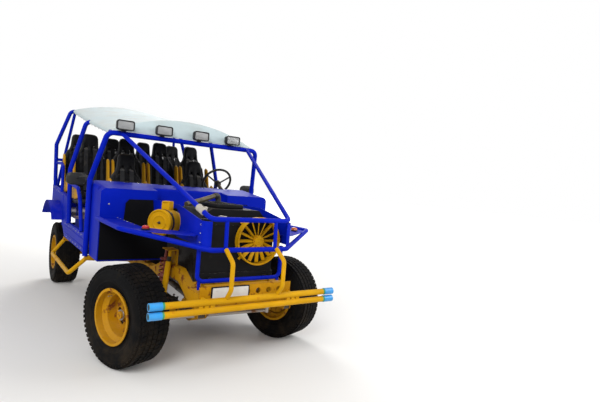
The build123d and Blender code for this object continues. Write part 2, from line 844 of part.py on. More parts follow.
wheel_at = Vector(550, 1250, 1470)
column_dir = Vector(0, -cos(radians(31)), -sin(radians(31)))
column_top = wheel_at + column_dir * 56.3
column_end = wheel_at + column_dir * 560
shaft_joint = Vector(pitman_x + 10, 60, 790)
with BuildPart() as cowl:
    add(cowl_solid(0))
    add(cowl_solid(5), mode=Mode.SUBTRACT)
    with Locations((0, cowl_back_y + 90, 1240)):
        Box(2 * cowl_x - 10, 10, 280, mode=Mode.SUBTRACT)
    with Locations((0, cowl_back_y + 85, 1340)):
        Box(2 * cowl_x - 10, 4, 80)
    add(column_bore(28), mode=Mode.SUBTRACT)
write(cowl.part, "cowl")
pan_x = side_x - wall - 0.3
with BuildPart() as floor_pan:
    add(block((-pan_x, cowl_front_y, floor_z), (pan_x, riser_y, floor_z + panel)))
    add(block((-pan_x, riser_y - panel, floor_z), (pan_x, riser_y, deck_z + panel)))
    add(block((-pan_x, riser_y - panel, deck_z), (pan_x, tail_y - wall - 0.3, deck_z + panel)))
write(floor_pan.part, "floor_pan")

with BuildPart() as sills:
    sill_front = cowl_back_y + cage_r + 0.3
    sill_outline = [(sill_front, floor_z), (sill_back_y, floor_z), (sill_back_y, sill_top), (sill_front, sill_top)]
    add(side_plate(sill_outline, side_x - wall, side_x))
    mirror(about=Plane.YZ)
write(sills.part, "side_sills")

quarter_step = (wheelbase - 450.0, quarter_top - 60)
quarter_outline = [
    (sill_back_y + 0.3, floor_z + 10), (wheelbase - 390, 860), (wheelbase + 60, 1040), (tail_y, 1040),
    (tail_y, quarter_top), quarter_step, (wheelbase - 830, 1130), (wheelbase - 900, sill_top + 0.3),
    (sill_back_y + 0.3, sill_top + 0.3),
]
with BuildPart() as body_rear:
    add(side_plate(quarter_outline, side_x - wall, side_x))
    mirror(about=Plane.YZ)
    add(block((-side_x + wall, tail_y - 30, deck_z - 60), (side_x - wall, tail_y, quarter_top)))
write(body_rear.part, "rear_body")


def rear_arch():
    """A curved fender over the rear wheel, on the driver's side."""
    centre = (wheelbase, tyre_radius)
    with BuildPart() as fender:
        with BuildSketch(Plane.YZ.offset(side_x)):
            with Locations(centre):
                Circle(680)
                Circle(676, mode=Mode.SUBTRACT)
            with Locations((centre[0], centre[1] - 330)):
                Rectangle(1600, 1600, mode=Mode.SUBTRACT)
        extrude(amount=120)
    return fender.part


write(mirrored(rear_arch()), "rear_fenders")


# Roll cage

bars = []
for name, foot_y, top_y, foot_x, foot_z, knee_x, knee_z, top_x, top_z in hoops:
    half = [(foot_x, foot_y, foot_z), (knee_x, foot_y, knee_z), (top_x, top_y, top_z)]
    bars.append(tube(both(half) + half[::-1], cage_r, hoop_bend))
for sign in (1, -1):
    tops = [(sign * (top_x - 40), top_y, top_z) for _, _, top_y, _, _, _, _, top_x, top_z in hoops]
    bars.append(tube(tops[:2], nose_r))
    bars.append(tube(tops[1:], nose_r))
for sign in (1, -1):
    x = sign * side_x
    bars.append(tube([(x, 1236, sill_top), (x, 1420, 1190), (x, 1560, 1290), (x, middle_hoop_y - cage_r, 1316)],
                     nose_r, 60))
    bars.append(tube([(x, wheelbase - 318, quarter_step[1]), (x, wheelbase - 290, 1500),
                      (x, wheelbase - 150, 1550), (x, rear_hoop_y - 23, 1555)], nose_r, 60))
bars.append(tube([(-875, rear_hoop_y, 1600), (875, rear_hoop_y, 1600)], nose_r))
for sign in (1, -1):
    brace = [(sign * 700, rear_hoop_y + 18, 2255), (sign * 820, tail_y - 15, quarter_top - 8)]
    bars.append(tube(brace, nose_r))

# Canopy and the bows that carry it

with BuildPart() as canopy:
    for section in canopy_sections:
        y, half, edge_z, crest_z = section
        with BuildSketch(Plane.XZ.offset(-y)):
            with BuildLine():
                ThreePointArc((-half, edge_z), (0, crest_z), (half, edge_z))
                Line((half, edge_z), (half, edge_z - canopy_sheet))
                ThreePointArc((half, edge_z - canopy_sheet), (0, crest_z - canopy_sheet),
                              (-half, edge_z - canopy_sheet))
                Line((-half, edge_z - canopy_sheet), (-half, edge_z))
            make_face()
    loft(ruled=True)
write(canopy.part, "roof_canopy")


def bow(section):
    """An arched bow under the canopy, with a foot on each side."""
    y, half, edge_z, crest_z = section
    drop = canopy_sheet + bow_r + 0.5
    with BuildPart() as arch_bow:
        with BuildLine() as path:
            ThreePointArc((-half + 4, y, edge_z - 1.4 * drop), (0, y, crest_z - drop),
                          (half - 4, y, edge_z - 1.4 * drop))
        with BuildSketch(Plane(origin=path.line @ 0, z_dir=path.line % 0)):
            Circle(bow_r)
        sweep()
    return arch_bow.part


def section_at(y):
    """The canopy's section at one Y, between the named ones."""
    for low, high in zip(canopy_sections, canopy_sections[1:]):
        if low[0] <= y <= high[0]:
            share = (y - low[0]) / (high[0] - low[0])
            return tuple(a + (b - a) * share for a, b in zip(low, high))
    return canopy_sections[-1]


front_bow_y = canopy_sections[0][0] + 14
for y in (front_bow_y, hoops[1][2], hoops[2][2]):
    bars.append(bow(section_at(y)))
for sign in (1, -1):
    bars.append(tube([(sign * 650, front_bow_y, 1876), (sign * 744, front_bow_y, 1858)], bow_r))
with BuildPart() as roll_cage:
    for bar in bars:
        add(bar)
    add(body_rear.part, mode=Mode.SUBTRACT)
    add(sills.part, mode=Mode.SUBTRACT)
    add(members.part, mode=Mode.SUBTRACT)
write(roll_cage.part, "roll_cage")

# What the cage and nose tubes are coped to
header_bar = tube([(-700, hoops[0][2], hoops[0][8]), (700, hoops[0][2], hoops[0][8])], cage_r)
with BuildPart() as nose_cage:
    add(nose.part)
    add(header_bar, mode=Mode.SUBTRACT)
write(nose_cage.part, "nose_cage")
with BuildPart() as nose_sides:
    add(mirrored(nose_side.part))
    add(nose_cage.part, mode=Mode.SUBTRACT)
    with BuildSketch(filter_plane.offset(-290)):
        Circle(112)
    extrude(amount=210, mode=Mode.SUBTRACT)
write(nose_sides.part, "nose_side_panels")
with BuildPart() as fenders:
    add(plates)
    add(nose_cage.part, mode=Mode.SUBTRACT)
    add(nose_sides.part, mode=Mode.SUBTRACT)
    add(column_bore(28), mode=Mode.SUBTRACT)
    with BuildSketch(filter_plane.offset(-240)):
        Circle(112)
    extrude(amount=280, mode=Mode.SUBTRACT)
write(fenders.part, "front_fenders")
with BuildPart() as upright_pair:
    add(uprights.part)
    add(bumper.part, mode=Mode.SUBTRACT)
    add(nose_cage.part, mode=Mode.SUBTRACT)
write(upright_pair.part, "bumper_uprights")


# Seats

def seat(x, y, z):
    """A bucket seat: cushion, leaning back with a tapered head, two harness slots and side wings."""
    lean = radians(seat_lean)
    half = seat_width / 2
    face = Plane(origin=(x, y, z + 70), x_dir=(1, 0, 0), z_dir=(0, -cos(lean), sin(lean)))
    with BuildPart() as bucket:
        with BuildSketch(face.offset(-60)):
            with BuildLine():
                Polyline((-half, 0), (half, 0), (half, 300), (half - 22, 510), (105, 610), (90, seat_back - 30),
                         (60, seat_back), (-60, seat_back), (-90, seat_back - 30), (-105, 610),
                         (-half + 22, 510), (-half, 300), close=True)
            make_face()
            with Locations((-48, 620), (48, 620)):
                SlotOverall(84, 30, rotation=78, mode=Mode.SUBTRACT)
        extrude(amount=60)
        with BuildSketch(Plane.YZ.offset(x - half)):
            with BuildLine():
                Polyline((y + 48, z), (y - 380, z + 30), (y - 430, z + 60), (y - 430, z + 110), (y - 400, z + 150),
                         (y - 40, z + 120), (y - 16, z + 180), (y + 40, z + 180), close=True)
            make_face()
        extrude(amount=seat_width)
        for side_sign in (1, -1):
            with BuildSketch(Plane.YZ.offset(x + side_sign * (half - 24))):
                with BuildLine():
                    Polyline((y - 390, z + 110), (y - 330, z + 190), (y - 120, z + 230), (y - 60, z + 330),
                             (y - 10, z + 520), (y + 80, z + 560), (y, z + 100), close=True)
                make_face()
            extrude(amount=side_sign * 24)
    return bucket.part


for row, y, z, places in seat_rows:
    with BuildPart() as seats:
        for x in places:
            add(seat(x, y, z))
    write(seats.part, f"seats_{row}")

frame_bars = []
for row, y, z, places in seat_rows:
    base = floor_z + panel if y < riser_y else deck_z + panel
    end = abs(places[0]) + 150
    for back in (40, 300):
        bar_y = y - back
        bar_z = z + 30 * (48 + back) / 428 - 14.35
        frame_bars.append(tube([(-end, bar_y, bar_z), (end, bar_y, bar_z)], 14))
        for x in (-end + 20, -end / 3, end / 3, end - 20):
            frame_bars.append(tube([(x, bar_y, base + 0.3), (x, bar_y, bar_z)], 12))
write(joined(frame_bars), "seat_frames")

# Roof lamps, markers, tail lamps and mirrors
lamp_x = (-638.0, -273.0, 110.0, 469.0)
lamp_y = 722.0
lamp_z = 1938.0
with BuildPart() as housings:
    for x in lamp_x:
        with BuildSketch(Plane.XZ.offset(-lamp_y - 78)):
            with Locations((x, lamp_z)):
                RectangleRounded(150, 80, 20)
        with BuildSketch(Plane.XZ.offset(-lamp_y)):
            with Locations((x, lamp_z)):
                RectangleRounded(184, 112, 26)
        loft()
        with BuildSketch(Plane.XZ.offset(-lamp_y + 4)):
            with Locations((x, lamp_z)):
                RectangleRounded(166, 94, 20)
        extrude(amount=-16, mode=Mode.SUBTRACT)
        with Locations((x, lamp_y + 66, 1889.8)):
            Box(36, 24, 31)
write(housings.part, "lamp_housings")
with BuildPart() as lenses:
    for x in lamp_x:
        with BuildSketch(Plane.XZ.offset(-lamp_y + 3)):
            with Locations((x, lamp_z)):
                RectangleRounded(165.4, 93.4, 19.7)
        extrude(amount=-14.7)
write(lenses.part, "lamp_lenses")
marker_at = (690.0, -200.0)
with BuildPart() as markers:
    with Locations((marker_at[0], marker_at[1], fender_z + 9.3), (-marker_at[0], marker_at[1], fender_z + 9.3)):
        Box(70, 44, 30)
write(markers.part, "marker_lamps")
with BuildPart() as tail_lamps:
    for x in (-700, 700):
        with BuildSketch(Plane.XZ.offset(-tail_y - 0.3)):
            with Locations((x, 1130)):
                RectangleRounded(150, 90, 14)
        extrude(amount=-tail_lamp_depth)
write(tail_lamps.part, "tail_lamps")
with BuildPart() as mirror_arm:
    add(tube([(870, 975, 1424), (950, 1080, 1440), (984, 1232, 1441)], 7, 30))
    with BuildSketch(Plane.XZ.offset(-1232)):
        with Locations((984, 1441)):
            RectangleRounded(120, 170, 30)
    with BuildSketch(Plane.XZ.offset(-1205)):
        with Locations((984, 1441)):
            RectangleRounded(70, 110, 24)
    loft()
    mirror(about=Plane.YZ)
    add(roll_cage.part, mode=Mode.SUBTRACT)
write(mirror_arm.part, "mirrors")

# Steering wheel and column
wheel_plane = Plane(origin=wheel_at, x_dir=(1, 0, 0), z_dir=-column_dir)
with BuildPart() as steering_wheel:
    with Locations(wheel_plane):
        Torus(170, 13)
    for turn in (90, 210, 330):
        out = wheel_plane.x_dir * cos(radians(turn)) + wheel_plane.y_dir * sin(radians(turn))
        add(tube([tuple(wheel_at + column_dir * 34 + out * 20), tuple(wheel_at + out * 168)], 9))
    with BuildSketch(wheel_plane.offset(-16)):
        Circle(34)
    extrude(amount=-40)
write(steering_wheel.part, "steering_wheel")
with BuildPart() as column:
    add(tube([tuple(column_top), tuple(column_end)], 20))
    with Locations(column_end, shaft_joint):
        Sphere(20)
    add(tube([tuple(column_end), tuple(shaft_joint)], 12))
    add(tube([tuple(shaft_joint), (pitman_x, pitman_y + 40, gear_z + gear_half - 5)], 12))
    with Locations((pitman_x, pitman_y, gear_z)):
        Box(60, 120, 2 * gear_half)
write(column.part, "steering_column")

# Number plate on its frame
with BuildPart() as plate_frame:
    with BuildSketch(Plane.XZ.offset(608.3)):
        with Locations((-150, 640)):
            RectangleRounded(320, 116, 8)
    extrude(amount=6)
write(plate_frame.part, "plate_frame")
with BuildPart() as plate_face:
    with BuildSketch(Plane.XZ.offset(614.6)):
        with Locations((-150, 640)):
            RectangleRounded(298, 98, 6)
    extrude(amount=2)
write(plate_face.part, "number_plate")

# Step bars along the sills
step_half = [(side_x - 20, outriggers[0], rail_z + 50), (985, outriggers[0] + 120, 485),
             (985, outriggers[1] - 20, 485), (side_x - 20, outriggers[1], rail_z + 50)]
with BuildPart() as steps:
    add(tube(step_half, step_r, 50))
    mirror(about=Plane.YZ)
    add(members.part, mode=Mode.SUBTRACT)
write(steps.part, "step_bars")
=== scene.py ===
"""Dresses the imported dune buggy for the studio.

Lengths in the tables are the part source's millimetres, measured from the front axle; at() and mm() turn
them into the frame's metres. The nose faces -Y and the driver's side is +X.
"""

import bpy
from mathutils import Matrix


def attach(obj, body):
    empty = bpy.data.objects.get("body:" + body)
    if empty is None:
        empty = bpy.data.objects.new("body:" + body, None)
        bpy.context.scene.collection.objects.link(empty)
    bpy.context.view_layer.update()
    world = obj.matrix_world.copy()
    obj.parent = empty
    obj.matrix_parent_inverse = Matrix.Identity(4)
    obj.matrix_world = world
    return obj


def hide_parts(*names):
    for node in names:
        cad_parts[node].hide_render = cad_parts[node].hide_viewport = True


bl_info = {
    "name": "Dune buggy dressing",
    "version": (1, 0, 0),
    "blender": (4, 5, 0),
    "location": "View3D > Sidebar > Buggy",
    "description": "Adds tyres, seats, canopy cloth, fittings, finishes and a studio to the dune buggy",
    "category": "Object",
}

from math import asin, cos, exp, pi, radians, sin

import bmesh
import bpy
from bpy.props import FloatProperty, FloatVectorProperty, IntProperty, PointerProperty
from mathutils import Matrix, Vector

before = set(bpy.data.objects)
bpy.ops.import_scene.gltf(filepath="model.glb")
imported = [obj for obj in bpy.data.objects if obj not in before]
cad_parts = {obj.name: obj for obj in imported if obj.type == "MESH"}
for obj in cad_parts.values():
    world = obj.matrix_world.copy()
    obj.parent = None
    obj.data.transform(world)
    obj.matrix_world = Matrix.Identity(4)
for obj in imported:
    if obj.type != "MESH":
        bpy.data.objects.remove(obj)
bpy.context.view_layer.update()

# Places and sizes shared with the solids, in millimetres
middle_y = 1378.65
wheelbase = 2950.0
half_track = 764.0
tyre_radius = 390.0
kingpin_x = 600.0
steer_rest = 19.0
disc_offset = -35.0
lamp_x = (-652.0, -287.0, 96.0, 455.0)
lamp_y = 722.0
lamp_z = 1925.0
fan_centre = (150.0, -456.6, 1015.0)
filter_centre = Vector((-545, -100, 1115))
filter_axis = Vector((-0.8, -0.6, 0))
steering_at = Vector((550, 1250, 1470))
steering_tilt = radians(31)
marker_at = (690.0, -200.0, 1077.3)
bumper_y = -690.0
bumper_tubes_z = (613.0, 550.0)
nut_circle = 64.0
cap_circle = 35.0
side_x = 876.0
floor_top = 688.0
spring_x = 375.0
cowl_back = 1075.0
seat_lean = radians(12)
bow_radius = 12.0
header_y = 800.0
header_top = 1874.0
hug = 22.0
rail_lean = radians(26)
rail_wrap = radians(190)

# Places of the fittings, in millimetres
mirror_at = (948.0, 1232.0, 1393.0)
plate_at = (-150.0, -617.0, 640.0)
tail_lamps_x = (-700.0, 700.0)
damper_foot = (466.0, 453.3)
damper_head = (428.0, 880.0)
dash_z = 1342.0
gauges_x = (-110.0, 0.0, 110.0)
switches_x = (240.0, 285.0, 330.0)
pedals_x = (440.0, 540.0, 650.0)
hinges_x = (-520.0, -180.0, 180.0, 520.0)

# Gear levers: X and Y of the foot, lean to the side
gear_levers = [(40.0, 1215.0, 0.12), (-60.0, 1225.0, -0.08)]

# Cloth in metres: its width to each side of the middle, and its length
cloth_half = 0.83
cloth_length = 2.66

# Shares of the cloth: the front valance, the rolled rear hem, and the arch between the rails
valance = 0.076
rear_roll = 0.022
hem = 0.914

# Spans of Y where the cloth is laced round the side rails
laced_spans = [(900.0, 1952.0), (2048.0, 3140.0)]

# Share of the cloth's half width at which its eyelets sit
eyelet_at = 0.968

# Canopy stations: Y, X and Z of the side rail, Z of the crest
canopy_stations = [
    (852.0, 743.0, 1858.3, 2063.0),
    (2000.0, 720.0, 2041.0, 2222.0),
    (3200.0, 710.0, 2276.0, 2432.0),
]

# Seats: row, Y of the back's foot, Z of the cushion's underside, X of each seat
seat_rows = [
    ("front", 1430.0, 860.0, (-400.0, 400.0)),
    ("middle", 2180.0, 1085.0, (-645.0, -215.0, 215.0, 645.0)),
    ("rear", 2930.0, 1120.0, (-645.0, -215.0, 215.0, 645.0)),
]

wheels = {
    "front_left": (1, 0.0, steer_rest),
    "front_right": (-1, 0.0, steer_rest),
    "rear_left": (1, wheelbase, 0.0),
    "rear_right": (-1, wheelbase, 0.0),
}

# Seats, in metres from a seat's middle: side seams of its covers, slots for its belts, width of a strap
seam_at = 0.118
slot_x = 0.047
belt_width = 0.045

# Outlines seen from a seat's side, in metres: side wing, shoulder strap and lap strap
wing_outline = [
    (-0.40, 0.115), (-0.385, 0.165), (-0.335, 0.19), (-0.20, 0.205), (-0.12, 0.235), (-0.07, 0.33),
    (-0.03, 0.47), (0.0, 0.54), (0.045, 0.56), (0.075, 0.54), (0.03, 0.35), (0.0, 0.12), (-0.02, 0.07),
    (-0.20, 0.065), (-0.38, 0.085),
]
shoulder_path = [
    (0.650, -0.058), (0.630, -0.040), (0.612, -0.010), (0.590, 0.012), (0.54, 0.018), (0.44, 0.021),
    (0.34, 0.022), (0.24, 0.023), (0.15, 0.026), (0.09, 0.040),
]
lap_path = [
    (-0.165, -0.03), (-0.150, 0.0), (-0.12, 0.012), (-0.05, 0.018), (0.0, 0.020), (0.05, 0.018),
    (0.12, 0.012), (0.150, 0.0), (0.165, -0.03),
]

# Rows of panel bolts on the driver's side: start, end, count, facing
bolt_rows = [
    ((700, 600, 1077.3), (700, 60, 1077.3), 6, (0, 0, 1)),
    ((680, 1040, 1391), (150, 1040, 1391), 5, (0, -0.11, 1)),
    ((side_x, 1080, 845), (side_x, 2240, 845), 9, (1, 0, 0)),
    ((side_x, 1080, 705), (side_x, 2240, 705), 9, (1, 0, 0)),
    ((side_x, 2540, 1165), (side_x, 3460, 1222), 8, (1, 0, 0)),
    ((side_x, 2600, 900), (side_x, 3000, 1060), 5, (1, 0, 0)),
    ((780, 600, 1200), (780, 600, 760), 4, (0, -1, 0)),
    ((820, 3500, 1225), (60, 3500, 1225), 7, (0, 1, 0)),
    ((820, 3500, 900), (60, 3500, 900), 7, (0, 1, 0)),
    ((392, -530, 1150), (392, -530, 1020), 3, (1, 0, 0)),
]

# Camera: its place in metres, then its heading, pitch and roll
camera_at = (-1.7266, -4.93545, 1.4710)
camera_turns = [radians(angle) for angle in (36.2, -1.6, 4.6)]

# Studio lights: name, size, place and what each faces, in metres
studio_lights = [
    ("key", 4.5, (-5.5, -6.5, 6.0), (0, 0, 1.0)),
    ("fill", 5.0, (6.5, -4.5, 4.0), (0, -0.5, 1.0)),
    ("back", 4.0, (3.0, 7.5, 6.0), (0, 0.5, 1.2)),
]

# Which finish each solid wears
solid_finishes = {
    "blue_paint": "nose_cage nose_side_panels cowl front_fenders side_sills rear_body rear_fenders roll_cage",
    "floor_paint": "floor_pan seat_frames",
    "yellow_paint": "bumper_tubes bumper_uprights air_filter step_bars shocks fan_ring fan_rotor",
    "rusty_yellow": "frame_rails frame_members front_crossmember front_axle rear_axle wheel_front_left "
                    "wheel_front_right wheel_rear_left wheel_rear_right knuckle_left knuckle_right",
    "light_blue_paint": "bumper_sleeves",
    "oily_metal": "engine_block gearbox propeller_shafts leaf_springs steering_column",
    "black_enamel": "engine_top radiator plate_frame filter_band fuel_tank",
    "worn_steel": "tie_rod drag_link pitman_arm exhaust intake_pipe",
    "black_plastic": "steering_wheel",
    "red_plastic": "tail_lamps",
    "plate_paint": "number_plate",
}


def at(x, y, z):
    """A point of the tables as metres in the frame."""
    return Vector((x, y - middle_y, z)) / 1000


def mm(*values):
    """Millimetres as metres."""
    return tuple(v / 1000 for v in values)


def put(x, y, z):
    """A place at a point of the tables."""
    return Matrix.Translation(at(x, y, z))


def shift(x, y, z):
    """A move in millimetres."""
    return Matrix.Translation(mm(x, y, z))


def spin(angle, axis):
    """A turn about one axis."""
    return Matrix.Rotation(angle, 4, axis)


def rgba(colour, scale=1.0, lift=0.0):
    """A colour as four values, made lighter or darker."""
    return tuple(min(1.0, c * scale + lift) for c in colour[:3]) + (1,)


# Settings

class PaintSettings(bpy.types.PropertyGroup):
    """Colours and wear of the painted parts."""

    blue: FloatVectorProperty(
        name="Blue", description="Body and cage paint", subtype="COLOR", size=4, min=0, max=1,
        default=(0.0006, 0.013, 0.43, 1))
    yellow: FloatVectorProperty(
        name="Yellow", description="Bumper, wheel and frame paint", subtype="COLOR", size=4, min=0, max=1,
        default=(0.64, 0.33, 0.003, 1))
    light_blue: FloatVectorProperty(
        name="Light blue", description="Paint on the bumper's ends", subtype="COLOR", size=4, min=0, max=1,
        default=(0.012, 0.30, 0.72, 1))
    dust: FloatVectorProperty(
        name="Dust", description="Colour of the fine sand that settles on the vehicle", subtype="COLOR",
        size=4, min=0, max=1, default=(0.46, 0.31, 0.16, 1))
    rust: FloatVectorProperty(
        name="Rust", description="Colour of rust under the yellow paint", subtype="COLOR", size=4, min=0,
        max=1, default=(0.16, 0.045, 0.012, 1))
    wear: FloatProperty(
        name="Edge wear", description="Share of the edges that has lost its paint", subtype="FACTOR", min=0,
        max=1, default=0.42)


class TyreSettings(bpy.types.PropertyGroup):
    """Tread of the tyres."""

    pitches: IntProperty(name="Pitches", description="Tread blocks round one tyre", min=24,
                         max=90, default=60)
    depth: FloatProperty(
        name="Tread depth", description="Height of the tread blocks", subtype="DISTANCE", unit="LENGTH",
        min=0.004, max=0.02, default=0.009)


class ClothSettings(bpy.types.PropertyGroup):
    """Canopy cloth and seat padding."""

    sag: FloatProperty(
        name="Sag", description="Dip of the cloth between two bows", subtype="DISTANCE", unit="LENGTH",
        min=0, max=0.08, default=0.026)
    canvas: FloatVectorProperty(
        name="Canvas", description="Colour of the canopy", subtype="COLOR", size=4, min=0, max=1,
        default=(0.49, 0.59, 0.61, 1))
    pressure: FloatProperty(
        name="Pressure", description="Push of the foam on the seat covers", min=0, max=12, default=4.0)
    swell: FloatProperty(
        name="Swell", description="Furthest that a cover may bulge", subtype="DISTANCE", unit="LENGTH",
        min=0, max=0.04, default=0.013)
    voxel: FloatProperty(
        name="Mesh size", description="Size of the faces of a seat cover", subtype="DISTANCE",
        unit="LENGTH", min=0.005, max=0.02, default=0.0088)


class StageSettings(bpy.types.PropertyGroup):
    """Studio light and camera."""

    floor: FloatVectorProperty(
        name="Floor", description="Floor colour", subtype="COLOR", size=4, min=0, max=1,
        default=(0.80, 0.79, 0.77, 1))
    key: FloatProperty(name="Key light", description="Power of the large front light", unit="POWER", min=0,
                       default=620.0)
    fill: FloatProperty(name="Fill light", description="Power of the side light", unit="POWER", min=0,
                        default=330.0)
    back: FloatProperty(name="Back light", description="Power of the light behind", unit="POWER", min=0,
                        default=520.0)
    sky: FloatProperty(name="Room light", description="Strength of the light from all round", min=0, max=2,
                       default=0.52)
    lens: FloatProperty(name="Lens", description="Focal length of the camera", unit="CAMERA", min=10,
                        max=200, default=26.45)


# Node trees

def wire(tree, kind, sockets=None, **settings):
    """A node with its settings, and its sockets set or linked by name or number."""
    node = tree.nodes.new(kind)
    for key, value in settings.items():
        setattr(node, key, value)
    for key, value in (sockets or {}).items():
        if isinstance(value, bpy.types.NodeSocket):
            tree.links.new(value, node.inputs[key])
        else:
            node.inputs[key].default_value = value
    return node


def math(tree, operation, first, second=0.0, clamp=False):
    """The result of one sum on two values."""
    node = wire(tree, "ShaderNodeMath", {0: first, 1: second}, operation=operation, use_clamp=clamp)
    return node.outputs[0]


def mix(tree, share, first, second):
    """A colour between two, by a mask."""
    node = wire(tree, "ShaderNodeMix", {0: share, 6: first, 7: second}, data_type="RGBA")
    return node.outputs[2]


def ramp(tree, value, low, high, out_low=0.0, out_high=1.0):
    """A value spread smoothly from one span to another."""
    return wire(tree, "ShaderNodeMapRange", {"Value": value, "From Min": low, "From Max": high,
                "To Min": out_low, "To Max": out_high}, interpolation_type="SMOOTHSTEP").outputs[0]


def new_group(name, given, made):
    """An empty shader group with its sockets."""
    group = bpy.data.node_groups.new(name, "ShaderNodeTree")
    for label, kind, default in given:
        socket = group.interface.new_socket(label, in_out="INPUT", socket_type="NodeSocket" + kind)
        socket.default_value = default
    for label, kind in made:
        group.interface.new_socket(label, in_out="OUTPUT", socket_type="NodeSocket" + kind)
    return group, group.nodes.new("NodeGroupInput").outputs, group.nodes.new("NodeGroupOutput").inputs


def build_edge_wear():
    """Group: a mask of chipped edges."""
    tree, given, out = new_group(
        "Edge wear", [("Width", "Float", 0.004), ("Amount", "Float", 0.4), ("Scale", "Float", 40.0)],
        [("Mask", "Float")])
    rounded = wire(tree, "ShaderNodeBevel", {"Radius": given["Width"]}, samples=4)
    face = wire(tree, "ShaderNodeNewGeometry")
    turn = wire(tree, "ShaderNodeVectorMath", {0: rounded.outputs[0], 1: face.outputs["Normal"]},
                operation="DOT_PRODUCT")
    edge = ramp(tree, turn.outputs["Value"], 0.995, 0.88)
    place = wire(tree, "ShaderNodeTexCoord").outputs["Object"]
    grit = wire(tree, "ShaderNodeTexNoise", {"Vector": place, "Scale": given["Scale"], "Detail": 3.0})
    limit = math(tree, "SUBTRACT", 1.0, given["Amount"])
    chipped = ramp(tree, math(tree, "SUBTRACT", grit.outputs[0], limit), -0.06, 0.06)
    tree.links.new(math(tree, "MULTIPLY", edge, chipped), out["Mask"])


def build_patches():
    """Group: a mask of cloudy patches, such as stains, fading or rust."""
    tree, given, out = new_group(
        "Patches", [("Scale", "Float", 5.0), ("Amount", "Float", 0.3), ("Softness", "Float", 0.1),
                    ("Seed", "Float", 0.0)], [("Mask", "Float")])
    place = wire(tree, "ShaderNodeTexCoord").outputs["Object"]
    cloud = wire(tree, "ShaderNodeTexNoise", {"Vector": place, "W": given["Seed"], "Scale": given["Scale"],
                 "Detail": 6.0, "Roughness": 0.62}, noise_dimensions="4D")
    limit = math(tree, "SUBTRACT", 0.72, math(tree, "MULTIPLY", given["Amount"], 0.44))
    over = math(tree, "SUBTRACT", cloud.outputs[0], limit)
    share = math(tree, "DIVIDE", over, math(tree, "MAXIMUM", given["Softness"], 0.01), clamp=True)
    tree.links.new(share, out["Mask"])


def build_dust():
    """Group: a mask of sand that lies on what faces up and clings low down."""
    tree, given, out = new_group("Settled sand", [("Amount", "Float", 0.3)], [("Mask", "Float")])
    where = wire(tree, "ShaderNodeTexCoord").outputs
    up = wire(tree, "ShaderNodeSeparateXYZ", {0: where["Normal"]}).outputs["Z"]
    height = wire(tree, "ShaderNodeSeparateXYZ", {0: where["Object"]}).outputs["Z"]
    lying = ramp(tree, up, 0.35, 1.0)
    low = ramp(tree, height, 0.75, 0.05, 0.0, 0.9)
    cloud = wire(tree, "ShaderNodeTexNoise", {"Vector": where["Object"], "Scale": 7.0, "Detail": 7.0,
                 "Roughness": 0.68})
    drift = ramp(tree, cloud.outputs[0], 0.38, 0.66)
    both = math(tree, "ADD", math(tree, "MULTIPLY", lying, 0.75), low)
    mask = math(tree, "MULTIPLY", math(tree, "MULTIPLY", both, drift), given["Amount"], clamp=True)
    tree.links.new(mask, out["Mask"])


def build_grain():
    """Group: the height of a fine surface grain."""
    tree, given, out = new_group("Grain", [("Scale", "Float", 300.0), ("Wave", "Float", 0.3)],
                                 [("Height", "Float")])
    place = wire(tree, "ShaderNodeTexCoord").outputs["Object"]
    fine = wire(tree, "ShaderNodeTexNoise", {"Vector": place, "Scale": given["Scale"], "Detail": 3.0})
    broad = wire(tree, "ShaderNodeTexNoise", {"Vector": place, "Scale": 18.0, "Detail": 2.0})
    broad_part = math(tree, "MULTIPLY", broad.outputs[0], given["Wave"])
    tree.links.new(math(tree, "ADD", fine.outputs[0], broad_part), out["Height"])


def build_weave():
    """Group: threads that cross at right angles, along a UV map in metres."""
    tree, given, out = new_group("Weave", [("Threads per metre", "Float", 500.0)],
                                 [("Height", "Float"), ("Thread", "Float")])
    cloth = wire(tree, "ShaderNodeTexCoord").outputs["UV"]
    scaled = wire(tree, "ShaderNodeVectorMath", {0: cloth, 3: given["Threads per metre"]},
                  operation="SCALE")
    axes = wire(tree, "ShaderNodeSeparateXYZ", {0: scaled.outputs[0]}).outputs
    warp = math(tree, "ABSOLUTE", math(tree, "SINE", math(tree, "MULTIPLY", axes["X"], pi)))
    weft = math(tree, "ABSOLUTE", math(tree, "SINE", math(tree, "MULTIPLY", axes["Y"], pi)))
    tree.links.new(math(tree, "MAXIMUM", warp, weft), out["Height"])
    uneven = wire(tree, "ShaderNodeTexNoise", {"Vector": scaled.outputs[0], "Scale": 0.35, "Detail": 2.0})
    tree.links.new(uneven.outputs[0], out["Thread"])


def use(tree, name, **values):
    """One of the groups above, placed in a material with its own values."""
    node = tree.nodes.new("ShaderNodeGroup")
    node.node_tree = bpy.data.node_groups[name]
    for key, value in values.items():
        node.inputs[key.replace("_", " ")].default_value = value
    return node.outputs[0]


